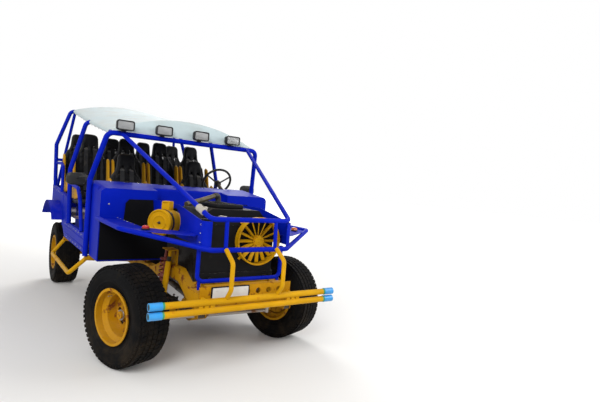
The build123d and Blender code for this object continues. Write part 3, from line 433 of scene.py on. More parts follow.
def smooth_solids_group():
    """Geometry group that joins a solid's loose triangles and shades its curves smooth."""
    tree = bpy.data.node_groups.new("Smooth solid", "GeometryNodeTree")
    tree.interface.new_socket("Geometry", in_out="INPUT", socket_type="NodeSocketGeometry")
    tree.interface.new_socket("Geometry", in_out="OUTPUT", socket_type="NodeSocketGeometry")
    given = tree.nodes.new("NodeGroupInput").outputs[0]
    welded = wire(tree, "GeometryNodeMergeByDistance", {"Geometry": given, "Distance": 0.00002}).outputs[0]
    smooth = wire(tree, "GeometryNodeSetShadeSmooth", {0: welded, "Shade Smooth": True},
                  domain="FACE").outputs[0]
    angle = wire(tree, "GeometryNodeInputMeshEdgeAngle").outputs["Unsigned Angle"]
    sharp = wire(tree, "FunctionNodeCompare", {0: angle, 1: radians(34)}, data_type="FLOAT",
                 operation="GREATER_THAN").outputs[0]
    edges = {0: smooth, "Selection": sharp, "Shade Smooth": False}
    creased = wire(tree, "GeometryNodeSetShadeSmooth", edges, domain="EDGE").outputs[0]
    out = tree.nodes.new("NodeGroupOutput")
    tree.links.new(creased, out.inputs[0])
    return tree


# Finishes

finishes = {}


def relief(tree, shader, height, distance, strength):
    """Fine relief on a shader's surface, from a height."""
    bump = wire(tree, "ShaderNodeBump", {"Height": height, "Distance": distance, "Strength": strength})
    tree.links.new(bump.outputs[0], shader["Normal"])


def sanded(tree, shader, base, amount):
    """Gives a shader its colour with sand settled on it, and returns the sand's mask."""
    dusty = use(tree, "Settled sand", Amount=amount)
    sand = rgba(bpy.context.scene.buggy_paint.dust)
    tree.links.new(mix(tree, dusty, base, sand), shader["Base Color"])
    return dusty


def new_finish(name, slot, **constants):
    """A material with its shader, whose constant values sit on the shader's own sockets."""
    material = bpy.data.materials.new(name)
    material.use_nodes = True
    shader = material.node_tree.nodes["Principled BSDF"]
    for key, value in constants.items():
        shader.inputs[key.replace("_", " ")].default_value = value
    finishes[name] = (material, slot)
    return material.node_tree, shader.inputs


def worn(name, slot, colour, under, stain, rough=0.36, wear=0.4, stains=0.2, spread=7.0, dust=0.25,
         grain=260.0, depth=0.00025, **constants):
    """A surface with faded patches, stains, chipped edges, settled sand and its own grain."""
    tree, shader = new_finish(name, slot, **constants)
    faded = use(tree, "Patches", Scale=2.3, Amount=0.5, Softness=0.35, Seed=1.0)
    stained = use(tree, "Patches", Scale=spread, Amount=stains, Softness=0.07, Seed=5.0)
    chipped = use(tree, "Edge wear", Width=0.004, Amount=wear, Scale=38.0)
    base = mix(tree, faded, rgba(colour, 0.80), rgba(colour, 1.18, 0.004))
    base = mix(tree, stained, base, rgba(stain))
    base = mix(tree, chipped, base, rgba(under))
    dusty = sanded(tree, shader, base, dust)
    marks = math(tree, "MAXIMUM", math(tree, "MULTIPLY", stained, 0.7), chipped)
    marked = math(tree, "MAXIMUM", marks, dusty)
    tree.links.new(ramp(tree, marked, 0.0, 1.0, rough, 0.88), shader["Roughness"])
    surface = use(tree, "Grain", Scale=grain, Wave=0.6)
    height = math(tree, "SUBTRACT", surface, math(tree, "MULTIPLY", chipped, 0.8))
    relief(tree, shader, height, depth, 0.55)


def vinyl(name, light, dark):
    """Grained vinyl with worn patches, sewn where the centre panel meets the sides."""
    tree, shader = new_finish(name, "seat_black", Roughness=0.5, Sheen_Weight=0.03, Specular_IOR_Level=0.09)
    cloth = wire(tree, "ShaderNodeTexCoord").outputs["UV"]
    side = math(tree, "ABSOLUTE", wire(tree, "ShaderNodeSeparateXYZ", {0: cloth}).outputs["X"])
    worn_patch = use(tree, "Patches", Scale=11.0, Amount=0.35, Softness=0.2, Seed=2.0)
    sanded(tree, shader, mix(tree, worn_patch, rgba(light), rgba(dark)), 0.14)
    place = wire(tree, "ShaderNodeTexCoord").outputs["Object"]
    pebbles = wire(tree, "ShaderNodeTexVoronoi", {"Vector": place, "Scale": 420.0})
    seam = ramp(tree, math(tree, "ABSOLUTE", math(tree, "SUBTRACT", side, seam_at)), 0.003, 0.0)
    height = math(tree, "SUBTRACT", math(tree, "MULTIPLY", pebbles.outputs["Distance"], 0.35), seam)
    relief(tree, shader, height, 0.0012, 0.6)


def cloth_finish(name, slot, light, dark, threads, stains, dust):
    """Woven cloth that follows the piece's UV map."""
    tree, shader = new_finish(name, slot, Roughness=0.82, Sheen_Weight=0.25, Specular_IOR_Level=0.3)
    weave = tree.nodes.new("ShaderNodeGroup")
    weave.node_tree = bpy.data.node_groups["Weave"]
    weave.inputs[0].default_value = threads
    soiled = use(tree, "Patches", Scale=3.1, Amount=stains, Softness=0.3, Seed=8.0)
    thread = mix(tree, weave.outputs["Thread"], rgba(dark), rgba(light))
    dirty = mix(tree, math(tree, "MULTIPLY", soiled, 0.35), thread, rgba((0.30, 0.25, 0.18)))
    sanded(tree, shader, dirty, dust)
    relief(tree, shader, weave.outputs["Height"], 0.0008, 0.5)


def lens_finish(name, slot, colour, transmission, flutes):
    """Moulded lens with upright flutes, its colour darker in the flutes' troughs and lighter on their crests:
    painted shade and highlight.
    """
    tree, shader = new_finish(name, slot, Roughness=0.12, IOR=1.49, Transmission_Weight=transmission,
                              Specular_IOR_Level=0.6)
    place = wire(tree, "ShaderNodeTexCoord").outputs["Object"]
    axes = wire(tree, "ShaderNodeSeparateXYZ", {0: place}).outputs
    upright = math(tree, "SINE", math(tree, "MULTIPLY", axes["X"], flutes))
    level = math(tree, "SINE", math(tree, "MULTIPLY", axes["Z"], flutes * 0.5))
    pattern = math(tree, "ADD", upright, math(tree, "MULTIPLY", level, 0.4))
    # The flutes' troughs are painted darker and their crests lighter: painted shade and highlight.
    shade = ramp(tree, pattern, -1.0, 1.2, 0.0, 1.0)
    sanded(tree, shader, mix(tree, shade, rgba(colour, 0.8), rgba(colour)), 0.4)
    relief(tree, shader, pattern, 0.0012, 0.35)


def build_finishes():
    """Every finish, then the solids' own materials."""
    paint = bpy.context.scene.buggy_paint
    cloth = bpy.context.scene.buggy_cloth
    build_edge_wear()
    build_patches()
    build_dust()
    build_grain()
    build_weave()
    wear = paint.wear
    rust = paint.rust
    pale = (0.35, 0.34, 0.33)
    grime = (0.012, 0.010, 0.008)
    worn("blue_paint", "blue_paint", paint.blue, (0.06, 0.09, 0.20), (0.0005, 0.005, 0.24), rough=0.5,
         wear=wear, stains=0.16, dust=0.05, Specular_IOR_Level=0.05)
    worn("floor_paint", "blue_paint", (0.004, 0.010, 0.16), pale, (0.02, 0.02, 0.03), rough=0.6, dust=1.0)
    worn("yellow_paint", "yellow_paint", paint.yellow, rust, (0.46, 0.18, 0.005), rough=0.46, wear=wear,
         stains=0.26, spread=9.0, dust=0.08, Specular_IOR_Level=0.08)
    worn("rusty_yellow", "yellow_paint", (0.52, 0.25, 0.003), rust, rust, rough=0.55, wear=0.55,
         stains=0.36, spread=13.0, dust=0.12, grain=180.0, depth=0.0006, Specular_IOR_Level=0.08)
    worn("light_blue_paint", "sleeve_blue", paint.light_blue, (0.05, 0.32, 0.12), (0.01, 0.2, 0.5),
         rough=0.35, wear=0.5, stains=0.15, dust=0.15, Coat_Weight=0.3)
    worn("tape_green", "sleeve_blue", (0.02, 0.30, 0.10), pale, (0.02, 0.16, 0.08), rough=0.5)
    worn("tyre_rubber", "tyre", (0.004, 0.004, 0.0045), (0.012, 0.012, 0.012), (0.009, 0.0075, 0.006),
         rough=0.75, stains=0.3, spread=12.0, dust=0.035, grain=520.0, depth=0.0006,
         Specular_IOR_Level=0.07)
    # Near-black finish of the panel in front of the cowl: partly underseal, partly painted shade.
    worn("underseal", "dark_metal", (0.005, 0.005, 0.006), (0.02, 0.02, 0.02), grime, rough=0.9, dust=0.05,
         Specular_IOR_Level=0.06)
    worn("olive_pipe", "dark_metal", (0.085, 0.066, 0.028), rust, (0.03, 0.022, 0.012), rough=0.5,
         stains=0.4, dust=0.3, Metallic=0.3)
    worn("oily_metal", "dark_metal", (0.045, 0.040, 0.036), rust, (0.02, 0.015, 0.01), rough=0.48,
         stains=0.45, dust=0.5, grain=140.0, depth=0.0008, Metallic=0.6)
    worn("black_enamel", "dark_metal", (0.010, 0.010, 0.011), (0.18, 0.17, 0.16), (0.03, 0.026, 0.02),
         rough=0.5, dust=0.08, Specular_IOR_Level=0.09)
    worn("worn_steel", "steel", (0.36, 0.33, 0.30), (0.55, 0.53, 0.5), (0.20, 0.09, 0.035), rough=0.42,
         stains=0.42, dust=0.3, Metallic=0.85)
    worn("bright_steel", "steel", (0.62, 0.61, 0.60), (0.75, 0.75, 0.75), (0.30, 0.2, 0.12), rough=0.25,
         dust=0.15, Metallic=1.0)
    worn("chrome", "steel", (0.85, 0.86, 0.87), (0.9, 0.9, 0.9), (0.6, 0.6, 0.6), rough=0.08, stains=0.05,
         dust=0.05, grain=90.0, depth=0.0001, Metallic=1.0)
    worn("red_primer", "red_primer", (0.24, 0.035, 0.018), rust, (0.12, 0.02, 0.012), rough=0.55,
         stains=0.35, dust=0.3)
    worn("black_plastic", "black_plastic", (0.014, 0.014, 0.015), (0.07, 0.07, 0.07), (0.028, 0.026, 0.024),
         rough=0.46, dust=0.14, grain=420.0, depth=0.0005, Specular_IOR_Level=0.25)
    worn("hose_rubber", "black_plastic", (0.012, 0.012, 0.012), (0.05, 0.05, 0.05), (0.03, 0.026, 0.022),
         rough=0.6, dust=0.3, grain=500.0)
    worn("plate_paint", "plate_white", (0.74, 0.74, 0.72), (0.4, 0.4, 0.4), (0.48, 0.44, 0.36), rough=0.4,
         stains=0.3, dust=0.3)
    # Near-black iron of the rings behind the wheel discs: partly brake iron, partly painted shade.
    worn("brake_iron", "brake_steel", (0.022, 0.018, 0.015), (0.06, 0.05, 0.04), (0.035, 0.014, 0.006),
         rough=0.7, stains=0.5, dust=0.1, Specular_IOR_Level=0.1)
    vinyl("seat_vinyl", (0.006, 0.006, 0.007), (0.018, 0.017, 0.016))
    vinyl("wing_vinyl", (0.50, 0.25, 0.008), (0.26, 0.11, 0.008))
    cloth_finish("canopy_canvas", "canopy", cloth.canvas, rgba(cloth.canvas, 0.9), 420.0, 0.45, 0.3)
    cloth_finish("tie_cloth", "canopy", (0.48, 0.45, 0.40), (0.32, 0.28, 0.23), 700.0, 0.5, 0.2)
    cloth_finish("strap_webbing", "seat_black", (0.014, 0.014, 0.016), (0.008, 0.008, 0.009), 900.0,
                 0.4, 0.1)
    lens_finish("lamp_glass", "lens_clear", (0.42, 0.43, 0.43), 0.35, 900.0)
    lens_finish("amber_plastic", "lens_amber", (0.92, 0.20, 0.015), 0.25, 1500.0)
    lens_finish("red_plastic", "lens_red", (0.62, 0.012, 0.012), 0.25, 1500.0)
    smoother = smooth_solids_group()
    for name, nodes in solid_finishes.items():
        for node in nodes.split():
            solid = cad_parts[node]
            for place in solid.material_slots:
                place.material = finishes[name][0]
            solid.modifiers.new("Smooth solid", "NODES").node_group = smoother


# Shapes

def block(width, depth, height, ease=0.002, segments=2):
    """A box with eased edges about its own centre."""
    shape = bmesh.new()
    bmesh.ops.create_cube(shape, size=1.0, matrix=Matrix.Diagonal((width, depth, height, 1)))
    bmesh.ops.bevel(shape, geom=shape.edges[:], offset=ease, affect="EDGES", segments=segments, profile=0.5,
                    material=-1)
    return shape


def turned(profile, steps=32, loop=False):
    """A turned shape about Z, from radius and height pairs in millimetres."""
    shape = bmesh.new()
    line = [shape.verts.new((r / 1000, 0, h / 1000)) for r, h in profile]
    ends = line[1:] + line[:1] if loop else line[1:]
    for pair in zip(line, ends):
        shape.edges.new(pair)
    bmesh.ops.spin(shape, geom=shape.verts[:] + shape.edges[:], cent=(0, 0, 0), axis=(0, 0, 1),
                   angle=2 * pi, steps=steps, use_merge=True, use_duplicate=False)
    bmesh.ops.remove_doubles(shape, verts=shape.verts[:], dist=1e-6)
    bmesh.ops.recalc_face_normals(shape, faces=shape.faces[:])
    return shape


def bolt(size=8.0):
    """A hexagon head on its washer, with its top eased."""
    shape = turned([(0, 0), (size * 1.25, 0), (size * 1.25, size * 0.18), (0, size * 0.18)], 16)
    head = bmesh.new()
    radius = size * 0.93 / 1000
    bmesh.ops.create_cone(head, cap_ends=True, segments=6, radius1=radius, radius2=radius,
                          depth=size * 0.62 / 1000, matrix=Matrix.Translation((0, 0, size * 0.49 / 1000)))
    top = [e for e in head.edges if all(v.co.z > size * 0.6 / 1000 for v in e.verts)]
    bmesh.ops.bevel(head, geom=top, offset=size * 0.1 / 1000, affect="EDGES", segments=1,
                    profile=0.5, material=-1)
    stamp(shape, head, Matrix())
    return shape


def run(points, radius, smooth=True, loop=False, sides=3):
    """A round run of pipe, hose or wire through points."""
    curve = bpy.data.curves.new("run", "CURVE")
    curve.dimensions = "3D"
    curve.bevel_depth = radius
    curve.bevel_resolution = sides
    curve.resolution_u = 10
    curve.use_fill_caps = True
    spline = curve.splines.new("NURBS" if smooth else "POLY")
    spline.points.add(len(points) - 1)
    for point, place in zip(spline.points, points):
        point.co = (*place, 1)
    if smooth:
        spline.order_u = min(4, len(points))
        spline.use_endpoint_u = not loop
    spline.use_cyclic_u = loop
    return shape_of(curve)


def copied(mesh):
    """A shape that copies a mesh."""
    shape = bmesh.new()
    shape.from_mesh(mesh)
    return shape


def shape_of(curve):
    """The mesh of a curve, as a shape with its doubles merged."""
    holder = bpy.data.objects.new("holder", curve)
    mesh = bpy.data.meshes.new_from_object(holder)
    shape = copied(mesh)
    bpy.data.objects.remove(holder)
    bpy.data.curves.remove(curve)
    bpy.data.meshes.remove(mesh)
    bmesh.ops.remove_doubles(shape, verts=shape.verts[:], dist=1e-6)
    bmesh.ops.recalc_face_normals(shape, faces=shape.faces[:])
    return shape


def cut(outlines, thickness, ease=0.0015, segments=2):
    """A flat piece in XY cut to its first outline, with the others as holes, and eased edges."""
    curve = bpy.data.curves.new("cut", "CURVE")
    curve.dimensions = "2D"
    curve.fill_mode = "BOTH"
    curve.extrude = thickness / 2 - ease
    curve.bevel_depth = ease
    curve.bevel_resolution = segments - 1
    curve.offset = -ease
    for outline in outlines:
        spline = curve.splines.new("POLY")
        spline.points.add(len(outline) - 1)
        for point, (x, y) in zip(spline.points, outline):
            point.co = (x, y, 0, 1)
        spline.use_cyclic_u = True
    return shape_of(curve)


def rounded(width, height, radius, steps=5, centre=(0, 0)):
    """The outline of a rectangle with round corners, in metres."""
    corners = [(1, 1, 0), (-1, 1, 90), (-1, -1, 180), (1, -1, 270)]
    outline = []
    for sx, sy, start in corners:
        for step in range(steps + 1):
            turn = radians(start + 90 * step / steps)
            outline.append((centre[0] + sx * (width / 2 - radius) + radius * cos(turn),
                            centre[1] + sy * (height / 2 - radius) + radius * sin(turn)))
    return outline


def coil(radius, wire_radius, height, turns, steps=18):
    """A coil spring that stands on its own origin."""
    shape = bmesh.new()
    start = Matrix.Translation((radius, 0, 0)) @ spin(pi / 2, "X")
    bmesh.ops.create_circle(shape, cap_ends=False, radius=wire_radius, segments=10, matrix=start)
    count = int(turns * steps)
    bmesh.ops.spin(shape, geom=shape.verts[:] + shape.edges[:], cent=(0, 0, 0), axis=(0, 0, 1),
                   dvec=(0, 0, height / count), angle=2 * pi * turns, steps=count, use_duplicate=False)
    bmesh.ops.holes_fill(shape, edges=[e for e in shape.edges if e.is_boundary], sides=0)
    bmesh.ops.recalc_face_normals(shape, faces=shape.faces[:])
    return shape


def stepped(outline, steps, height=0.0):
    """A closed shell that starts at a flat outline and draws in by steps of depth and scale."""
    shape = bmesh.new()
    face = shape.faces.new([shape.verts.new((x, y, height)) for x, y in outline])
    for depth, scale in steps:
        made = bmesh.ops.extrude_face_region(shape, geom=[face])["geom"]
        face = next(g for g in made if isinstance(g, bmesh.types.BMFace))
        bmesh.ops.translate(shape, verts=face.verts[:], vec=(0, 0, -depth))
        for vert in face.verts:
            vert.co.x *= scale
            vert.co.y *= scale
    return shape


def lay_cloth(mesh, rule):
    """A UV map in metres, from a rule that takes a point to its place on the cloth."""
    uvs = mesh.uv_layers.new(name="Cloth")
    for loop in mesh.loops:
        uvs.data[loop.index].uv = rule(mesh.vertices[loop.vertex_index].co)


def strip(path, width, thickness=0.002):
    """A flat strap along a path in YZ, across X."""
    shape = bmesh.new()
    line = [shape.verts.new((-width / 2, y, z)) for y, z in path]
    edges = [shape.edges.new(pair) for pair in zip(line, line[1:])]
    made = bmesh.ops.extrude_edge_only(shape, edges=edges)["geom"]
    bmesh.ops.translate(shape, verts=[g for g in made if isinstance(g, bmesh.types.BMVert)],
                        vec=(width, 0, 0))
    layer = shape.loops.layers.uv.new("Cloth")
    marks = [Vector(point) for point in path]
    along = [0.0]
    for first, second in zip(marks, marks[1:]):
        along.append(along[-1] + (second - first).length)
    for face in shape.faces:
        for loop in face.loops:
            place = loop.vert.co
            nearest = min(range(len(marks)), key=lambda i: (marks[i] - place.yz).length)
            loop[layer].uv = (place.x, along[nearest])
    bmesh.ops.solidify(shape, geom=shape.faces[:], thickness=thickness)
    bmesh.ops.recalc_face_normals(shape, faces=shape.faces[:])
    return shape


def stamp(target, shape, *places):
    """Copies a shape into a mesh at each place, and frees the shape."""
    mesh = bpy.data.meshes.new("stamp")
    shape.to_mesh(mesh)
    shape.free()
    for place in places:
        first = len(target.verts)
        target.from_mesh(mesh)
        target.verts.ensure_lookup_table()
        added = target.verts[first:]
        bmesh.ops.transform(target, matrix=place, verts=added)
        if place.determinant() < 0:
            bmesh.ops.reverse_faces(target, faces=list({f for v in added for f in v.link_faces}))
    bpy.data.meshes.remove(mesh)


def aimed(point, direction, turn=0.0):
    """A place whose Z axis points along a direction."""
    facing = Vector(direction).to_track_quat("Z", "Y").to_matrix().to_4x4()
    return Matrix.Translation(point) @ facing @ spin(turn, "Z")


def both_sides(places):
    """The places and their mirror images about the vehicle's middle."""
    flip = Matrix.Diagonal((-1, 1, 1, 1))
    return list(places) + [flip @ place for place in places]


def piece(name, shape, finish, body="root", replaced=(), angle=34, keep_normals=False):
    """A finished object made of one shape, riding on its body."""
    if not keep_normals:
        bmesh.ops.recalc_face_normals(shape, faces=shape.faces[:])
    mesh = bpy.data.meshes.new(name)
    shape.to_mesh(mesh)
    shape.free()
    mesh.shade_smooth()
    mesh.set_sharp_from_angle(angle=radians(angle))
    thing = bpy.data.objects.new(name, mesh)
    bpy.context.scene.collection.objects.link(thing)
    material, slot = finishes[finish]
    mesh.materials.clear()
    mesh.materials.append(material)
    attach(thing, body)
    if replaced:
        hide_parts(*replaced)
    return thing


def assembly(name, parts, finish, body="root", replaced=(), angle=34):
    """A piece of several shapes, each with its places."""
    whole = bmesh.new()
    for shape, places in parts:
        stamp(whole, shape, *places)
    return piece(name, whole, finish, body, replaced, angle)


def wheel_place(wheel):
    """From a wheel's own centre, with its outer face along +X, to the frame."""
    sign, y, turn = wheels[wheel]
    pin = put(sign * kingpin_x, y, tyre_radius) @ spin(radians(turn), "Z")
    out = shift(sign * (half_track - kingpin_x), 0, 0)
    return pin @ out @ spin(0 if sign > 0 else pi, "Z")


# Tyres and wheels

def tyre_body():
    """The carcass about Z: beads, ringed sidewalls and the floor of the tread."""
    base = tyre_radius - bpy.context.scene.buggy_tyres.depth * 1000
    side = [(205, 104), (233, 106), (238, 111), (243, 113), (262, 124), (266, 128), (272, 128), (276, 127),
            (300, 134), (322, 133), (338, 130), (341, 132), (345, 131), (356, 126), (base - 12, 119),
            (base - 3, 108), (base, 88), (base + 1, 45), (base + 1.5, 0)]
    other = [(r, -h) for r, h in side[:-1]]
    return turned(side + other[::-1], 96, loop=True)


def tread():
    """All the blocks of one tyre: three ribs, two shoulders and the lugs down the side."""
    settings = bpy.context.scene.buggy_tyres
    depth = settings.depth
    count = settings.pitches
    pitch = 2 * pi / count
    whole = bmesh.new()
    # Offset along the axle, width, gap to the next block as a share, drop in radius, tilt, slant
    rows = [(0, 35, 0.13, 0.0, 0, 0.22), (-44, 37, 0.14, 0.6, 0, -0.30), (44, 37, 0.14, 0.6, 0, 0.30),
            (-91, 43, 0.16, 3.6, 7, 0.18), (91, 43, 0.16, 3.6, 7, -0.18),
            (-121, 19, 0.34, 19.0, 58, 0.0), (121, 19, 0.34, 19.0, 58, 0.0)]
    for row, (offset, width, gap, drop, tilt, slant) in enumerate(rows):
        radius = (tyre_radius - drop) / 1000
        long = radius * pitch * (1 - gap)
        shape = block(depth + 0.002, long, width / 1000, 0.0018, 1)
        for corner in shape.verts:
            corner.co.y += slant * corner.co.z
        lean = spin(radians(tilt) * (1 if offset > 0 else -1), "Y")
        seat = Matrix.Translation((radius - depth / 2 - 0.001, 0, offset / 1000)) @ lean
        stamp(whole, shape, *[spin(pitch * (i + 0.5 * (row % 2)), "Z") @ seat for i in range(count)])
    return whole


def build_tyres():
    """Four road tyres in place of their plain solids."""
    upright = spin(pi / 2, "Y")
    for wheel in wheels:
        place = wheel_place(wheel) @ upright
        assembly("treaded_tyre_" + wheel, [(tyre_body(), [place]), (tread(), [place])], "tyre_rubber",
                 "wheel_" + wheel, ["tyre_" + wheel], angle=28)


def build_wheel_fittings():
    """Nuts, valve, hub ring and a dark ring behind each wheel's disc: partly a brake face, partly painted
    shade so that the disc's holes read dark.
    """
    for wheel in wheels:
        place = wheel_place(wheel)
        out = spin(pi / 2, "Y")
        at_nut = shift(disc_offset + 19, 0, nut_circle) @ out
        nuts = [place @ spin(2 * pi * i / 5 + pi / 2, "X") @ at_nut for i in range(5)]
        on_cap = shift(disc_offset + 70, 0, cap_circle) @ out
        caps = [place @ spin(2 * pi * i / 6, "X") @ on_cap for i in range(6)]
        stud = turned([(0, 0), (9, 0), (9, 3), (6, 8), (6, 15), (4, 18), (0, 18)], 12)
        valve = turned([(0, 0), (4, 0), (4, 8), (3, 10), (3, 26), (4.4, 27), (4.4, 34), (3, 36), (0, 36)],
                       12)
        at_rim = place @ spin(0.6, "X") @ shift(62, 0, 164) @ out
        ring = turned([(41, 0), (53, 0), (55, 3), (53, 7), (41, 7)], 40, loop=True)
        at_disc = place @ shift(disc_offset + 4.2, 0, 0) @ out
        at_cap = place @ shift(disc_offset + 69, 0, 0) @ out
        flange = turned([(29, 0), (42, 0), (43, 2), (41, 6), (29, 6)], 40, loop=True)
        assembly("wheel_fasteners_" + wheel, [
            (stud, nuts), (bolt(5), caps), (valve, [at_rim]), (ring, [at_disc]), (flange, [at_cap])],
            "worn_steel", "wheel_" + wheel)
        # A dark ring just behind the disc: partly a brake face, partly painted shade seen through the disc's
        # holes.
        face = turned([(84, 0), (149, 0), (149, 3), (84, 3)], 56, loop=True)
        at_brake_shade = place @ shift(disc_offset - 19.2, 0, 0) @ out
        assembly("brake_face_" + wheel, [(face, [at_brake_shade])], "brake_iron", "wheel_" + wheel)


# Canopy

def canopy_row(y):
    """Side rail's X and Z and the crest of the canopy at one Y, with the sag between its bows."""
    for low, high in zip(canopy_stations, canopy_stations[1:]):
        if y <= high[0] or high is canopy_stations[-1]:
            share = (y - low[0]) / (high[0] - low[0])
            rail_x, rail_z, crest = [a + (b - a) * share for a, b in zip(low[1:], high[1:])]
            sag = bpy.context.scene.buggy_cloth.sag * 1000 * sin(pi * min(max(share, 0.0), 1.0))
            return rail_x, rail_z, crest - sag


def canopy_along(y):
    """The cloth's length coordinate above one Y."""
    first, last = canopy_stations[0][0], canopy_stations[-1][0]
    return valance + (1 - valance - rear_roll) * (y - first) / (last - first)


def canopy_point(across, along):
    """A point of the cloth: across from -1 to 1 round both rails, along from the header to the rear bow."""
    first, last = canopy_stations[0][0], canopy_stations[-1][0]
    share = min(max((along - valance) / (1 - valance - rear_roll), 0.0), 1.0)
    y = first + (last - first) * share
    rail_x, rail_z, crest = canopy_row(y)
    sign = 1 if across >= 0 else -1
    half = rail_x + hug * sin(rail_lean)
    rise = crest - rail_z - hug * cos(rail_lean)
    radius = (half * half + rise * rise) / (2 * rise)
    spread = min(abs(across) / hem, 1.0)
    angle = asin(half / radius) * spread
    x, z = radius * sin(angle), crest - radius + radius * cos(angle)
    if spread == 1:
        turn = rail_lean + (abs(across) - hem) / (1 - hem) * rail_wrap
        x, z = rail_x + hug * sin(turn), rail_z + hug * cos(turn)
    x *= sign
    calm = 1 - spread ** 8
    pucker = 2.4 * sin(across * 34 + along * 5) * exp(-((spread - 0.86) / 0.1) ** 2) * calm
    ripple = 1.8 * sin(along * 61 + across * 3.1) * spread ** 3 * calm
    if 0 < share < 1:
        return at(x, y, z + pucker + ripple)
    if share <= 0:
        up = along / valance
        foot = Vector((sign * spread * 700, header_y + 3, header_top + 1.6))
        knee, head = Vector((x, y - 18, z + 2)), Vector((x, y, z))
        slack = 3.0 * sin(across * 9 + up * 3) * sin(pi * up) * calm
        spot = foot * (1 - up) ** 2 + knee * 2 * up * (1 - up) + head * up * up
        return at(spot.x, spot.y - slack, spot.z + pucker * up)
    turn = min((along - 1 + rear_roll) / rear_roll, 1.0) * radians(200)
    reach = (bow_radius + 4) * (1 - 0.75 * spread ** 6)
    return at(x, y + reach * sin(turn), z + pucker - reach * (1 - cos(turn)))


def canopy_column(share):
    """Spaces the cloth's columns: fifteen over the arch and seven round each rail."""
    arch = 15 / 22
    if abs(share) <= arch:
        return share / arch * hem
    return (hem + (1 - hem) * (abs(share) - arch) / (1 - arch)) * (1 if share > 0 else -1)


def build_canopy():
    """The canopy's cloth, drawn from the header over its bows and laced round both side rails."""
    grid = bmesh.new()
    bmesh.ops.create_grid(grid, x_segments=44, y_segments=96, size=0.5)
    spare = []
    for face in grid.faces:
        centre = face.calc_center_median()
        along = centre.y + 0.5
        held = any(canopy_along(low) < along < canopy_along(high) for low, high in laced_spans)
        if abs(canopy_column(centre.x * 2)) > hem and not held:
            spare.append(face)
    bmesh.ops.delete(grid, geom=spare, context="FACES")
    layer = grid.loops.layers.uv.new("Cloth")
    for face in grid.faces:
        for loop in face.loops:
            loop[layer].uv = (canopy_column(loop.vert.co.x * 2) * cloth_half, loop.vert.co.y * cloth_length)
    for vert in grid.verts:
        vert.co = canopy_point(canopy_column(vert.co.x * 2), vert.co.y + 0.5)
    bmesh.ops.recalc_face_normals(grid, faces=grid.faces[:])
    cloth = piece("canopy_cloth", grid, "canopy_canvas", replaced=["roof_canopy"], angle=80,
                  keep_normals=True)
    thick = cloth.modifiers.new("Cloth", "SOLIDIFY")
    thick.thickness = 0.0016
    thick.offset = -1
    finer = cloth.modifiers.new("Smooth", "SUBSURF")
    finer.levels = finer.render_levels = 1
    rope = bmesh.new()
    eyelets = []
    for sign in (-1, 1):
        for low, high in laced_spans:
            start, end = canopy_along(low + 16), canopy_along(high - 16)
            edge = [canopy_point(sign * 0.999, start + (end - start) * i / 30) for i in range(31)]
            stamp(rope, run(edge, 0.0036), Matrix())
            for i in range(5):
                along = start + (end - start) * (i + 0.5) / 5
                spot = canopy_point(sign * eyelet_at, along)
                inner = canopy_point(sign * 0.95, along)
                out = (canopy_point(sign * eyelet_at, along + 0.01) - spot).cross(spot - inner) * sign
                eyelets.append(aimed(spot, -out if out.x * sign < 0 else out))
    ring = turned([(6, 0.4), (11, 0.4), (11, 1.6), (9, 2.6), (6, 1.6)], 20, loop=True)
    brass = assembly("canopy_eyelets", [(ring, eyelets)], "bright_steel")
    lacing = piece("canopy_bolt_rope", rope, "tie_cloth")


# Seats

def pad_mesh(name, shape, seams):
    """A cover remeshed, blown out by its foam, and drawn in along its seams."""
    settings = bpy.context.scene.buggy_cloth
    mesh = bpy.data.meshes.new(name)
    shape.to_mesh(mesh)
    shape.free()
    cover = bpy.data.objects.new(name, mesh)
    bpy.context.scene.collection.objects.link(cover)
    voxels = cover.modifiers.new("Even faces", "REMESH")
    voxels.mode = "VOXEL"
    voxels.voxel_size = settings.voxel
    graph = bpy.context.evaluated_depsgraph_get()
    even = bpy.data.meshes.new_from_object(cover.evaluated_get(graph))
    cover.modifiers.clear()
    cover.data = even
    start = [v.co.copy() for v in even.vertices]
    foam = cover.modifiers.new("Foam", "CLOTH")
    foam.settings.use_pressure = True
    foam.settings.uniform_pressure_force = settings.pressure
    foam.settings.effector_weights.gravity = 0
    foam.settings.quality = 4
    for step in range(1, 16):
        bpy.context.scene.frame_set(step)
    graph = bpy.context.evaluated_depsgraph_get()
    full = bpy.data.meshes.new_from_object(cover.evaluated_get(graph))
    for vert, begin in zip(full.vertices, start):
        moved = vert.co - begin
        if moved.length > settings.swell:
            vert.co = begin + moved.normalized() * settings.swell
    cover.modifiers.clear()
    cover.data = full
    bpy.context.scene.frame_set(1)
    for vert in cover.data.vertices:
        vert.co += seams(vert.co) * (1 if vert.co.z > 0 else 0)
    lay_cloth(cover.data, lambda place: (place.x, place.y))
    done = cover.data
    bpy.data.objects.remove(cover)
    return done


def back_seams(place):
    """How far a point of the seat back is drawn in: crown, side seams and level channels."""
    side = abs(abs(place.x) - seam_at)
    drawn = 0.010 * exp(-(side / 0.010) ** 2) if 0.05 < place.y < 0.58 else 0.0
    if abs(place.x) < 0.112 and 0.06 < place.y < 0.56:
        near = min(abs(place.y - level) for level in (0.13, 0.22, 0.31, 0.40, 0.49))
        drawn += 0.008 * exp(-(near / 0.009) ** 2)
    wing = 0.016 * max(0.0, (abs(place.x) - 0.125) / 0.07) if place.y < 0.5 else 0.0
    return Vector((0, 0, wing - drawn))


def cushion_seams(place):
    """How far a point of the cushion is drawn in: side seams and two cross channels."""
    side = abs(abs(place.x) - seam_at)
    drawn = 0.010 * exp(-(side / 0.010) ** 2)
    if abs(place.x) < 0.112:
        near = min(abs(place.y - level) for level in (-0.09, 0.0, 0.09))
        drawn += 0.008 * exp(-(near / 0.009) ** 2)
    wing = 0.014 * max(0.0, (abs(place.x) - 0.125) / 0.07)
    return Vector((0, 0, wing - drawn))


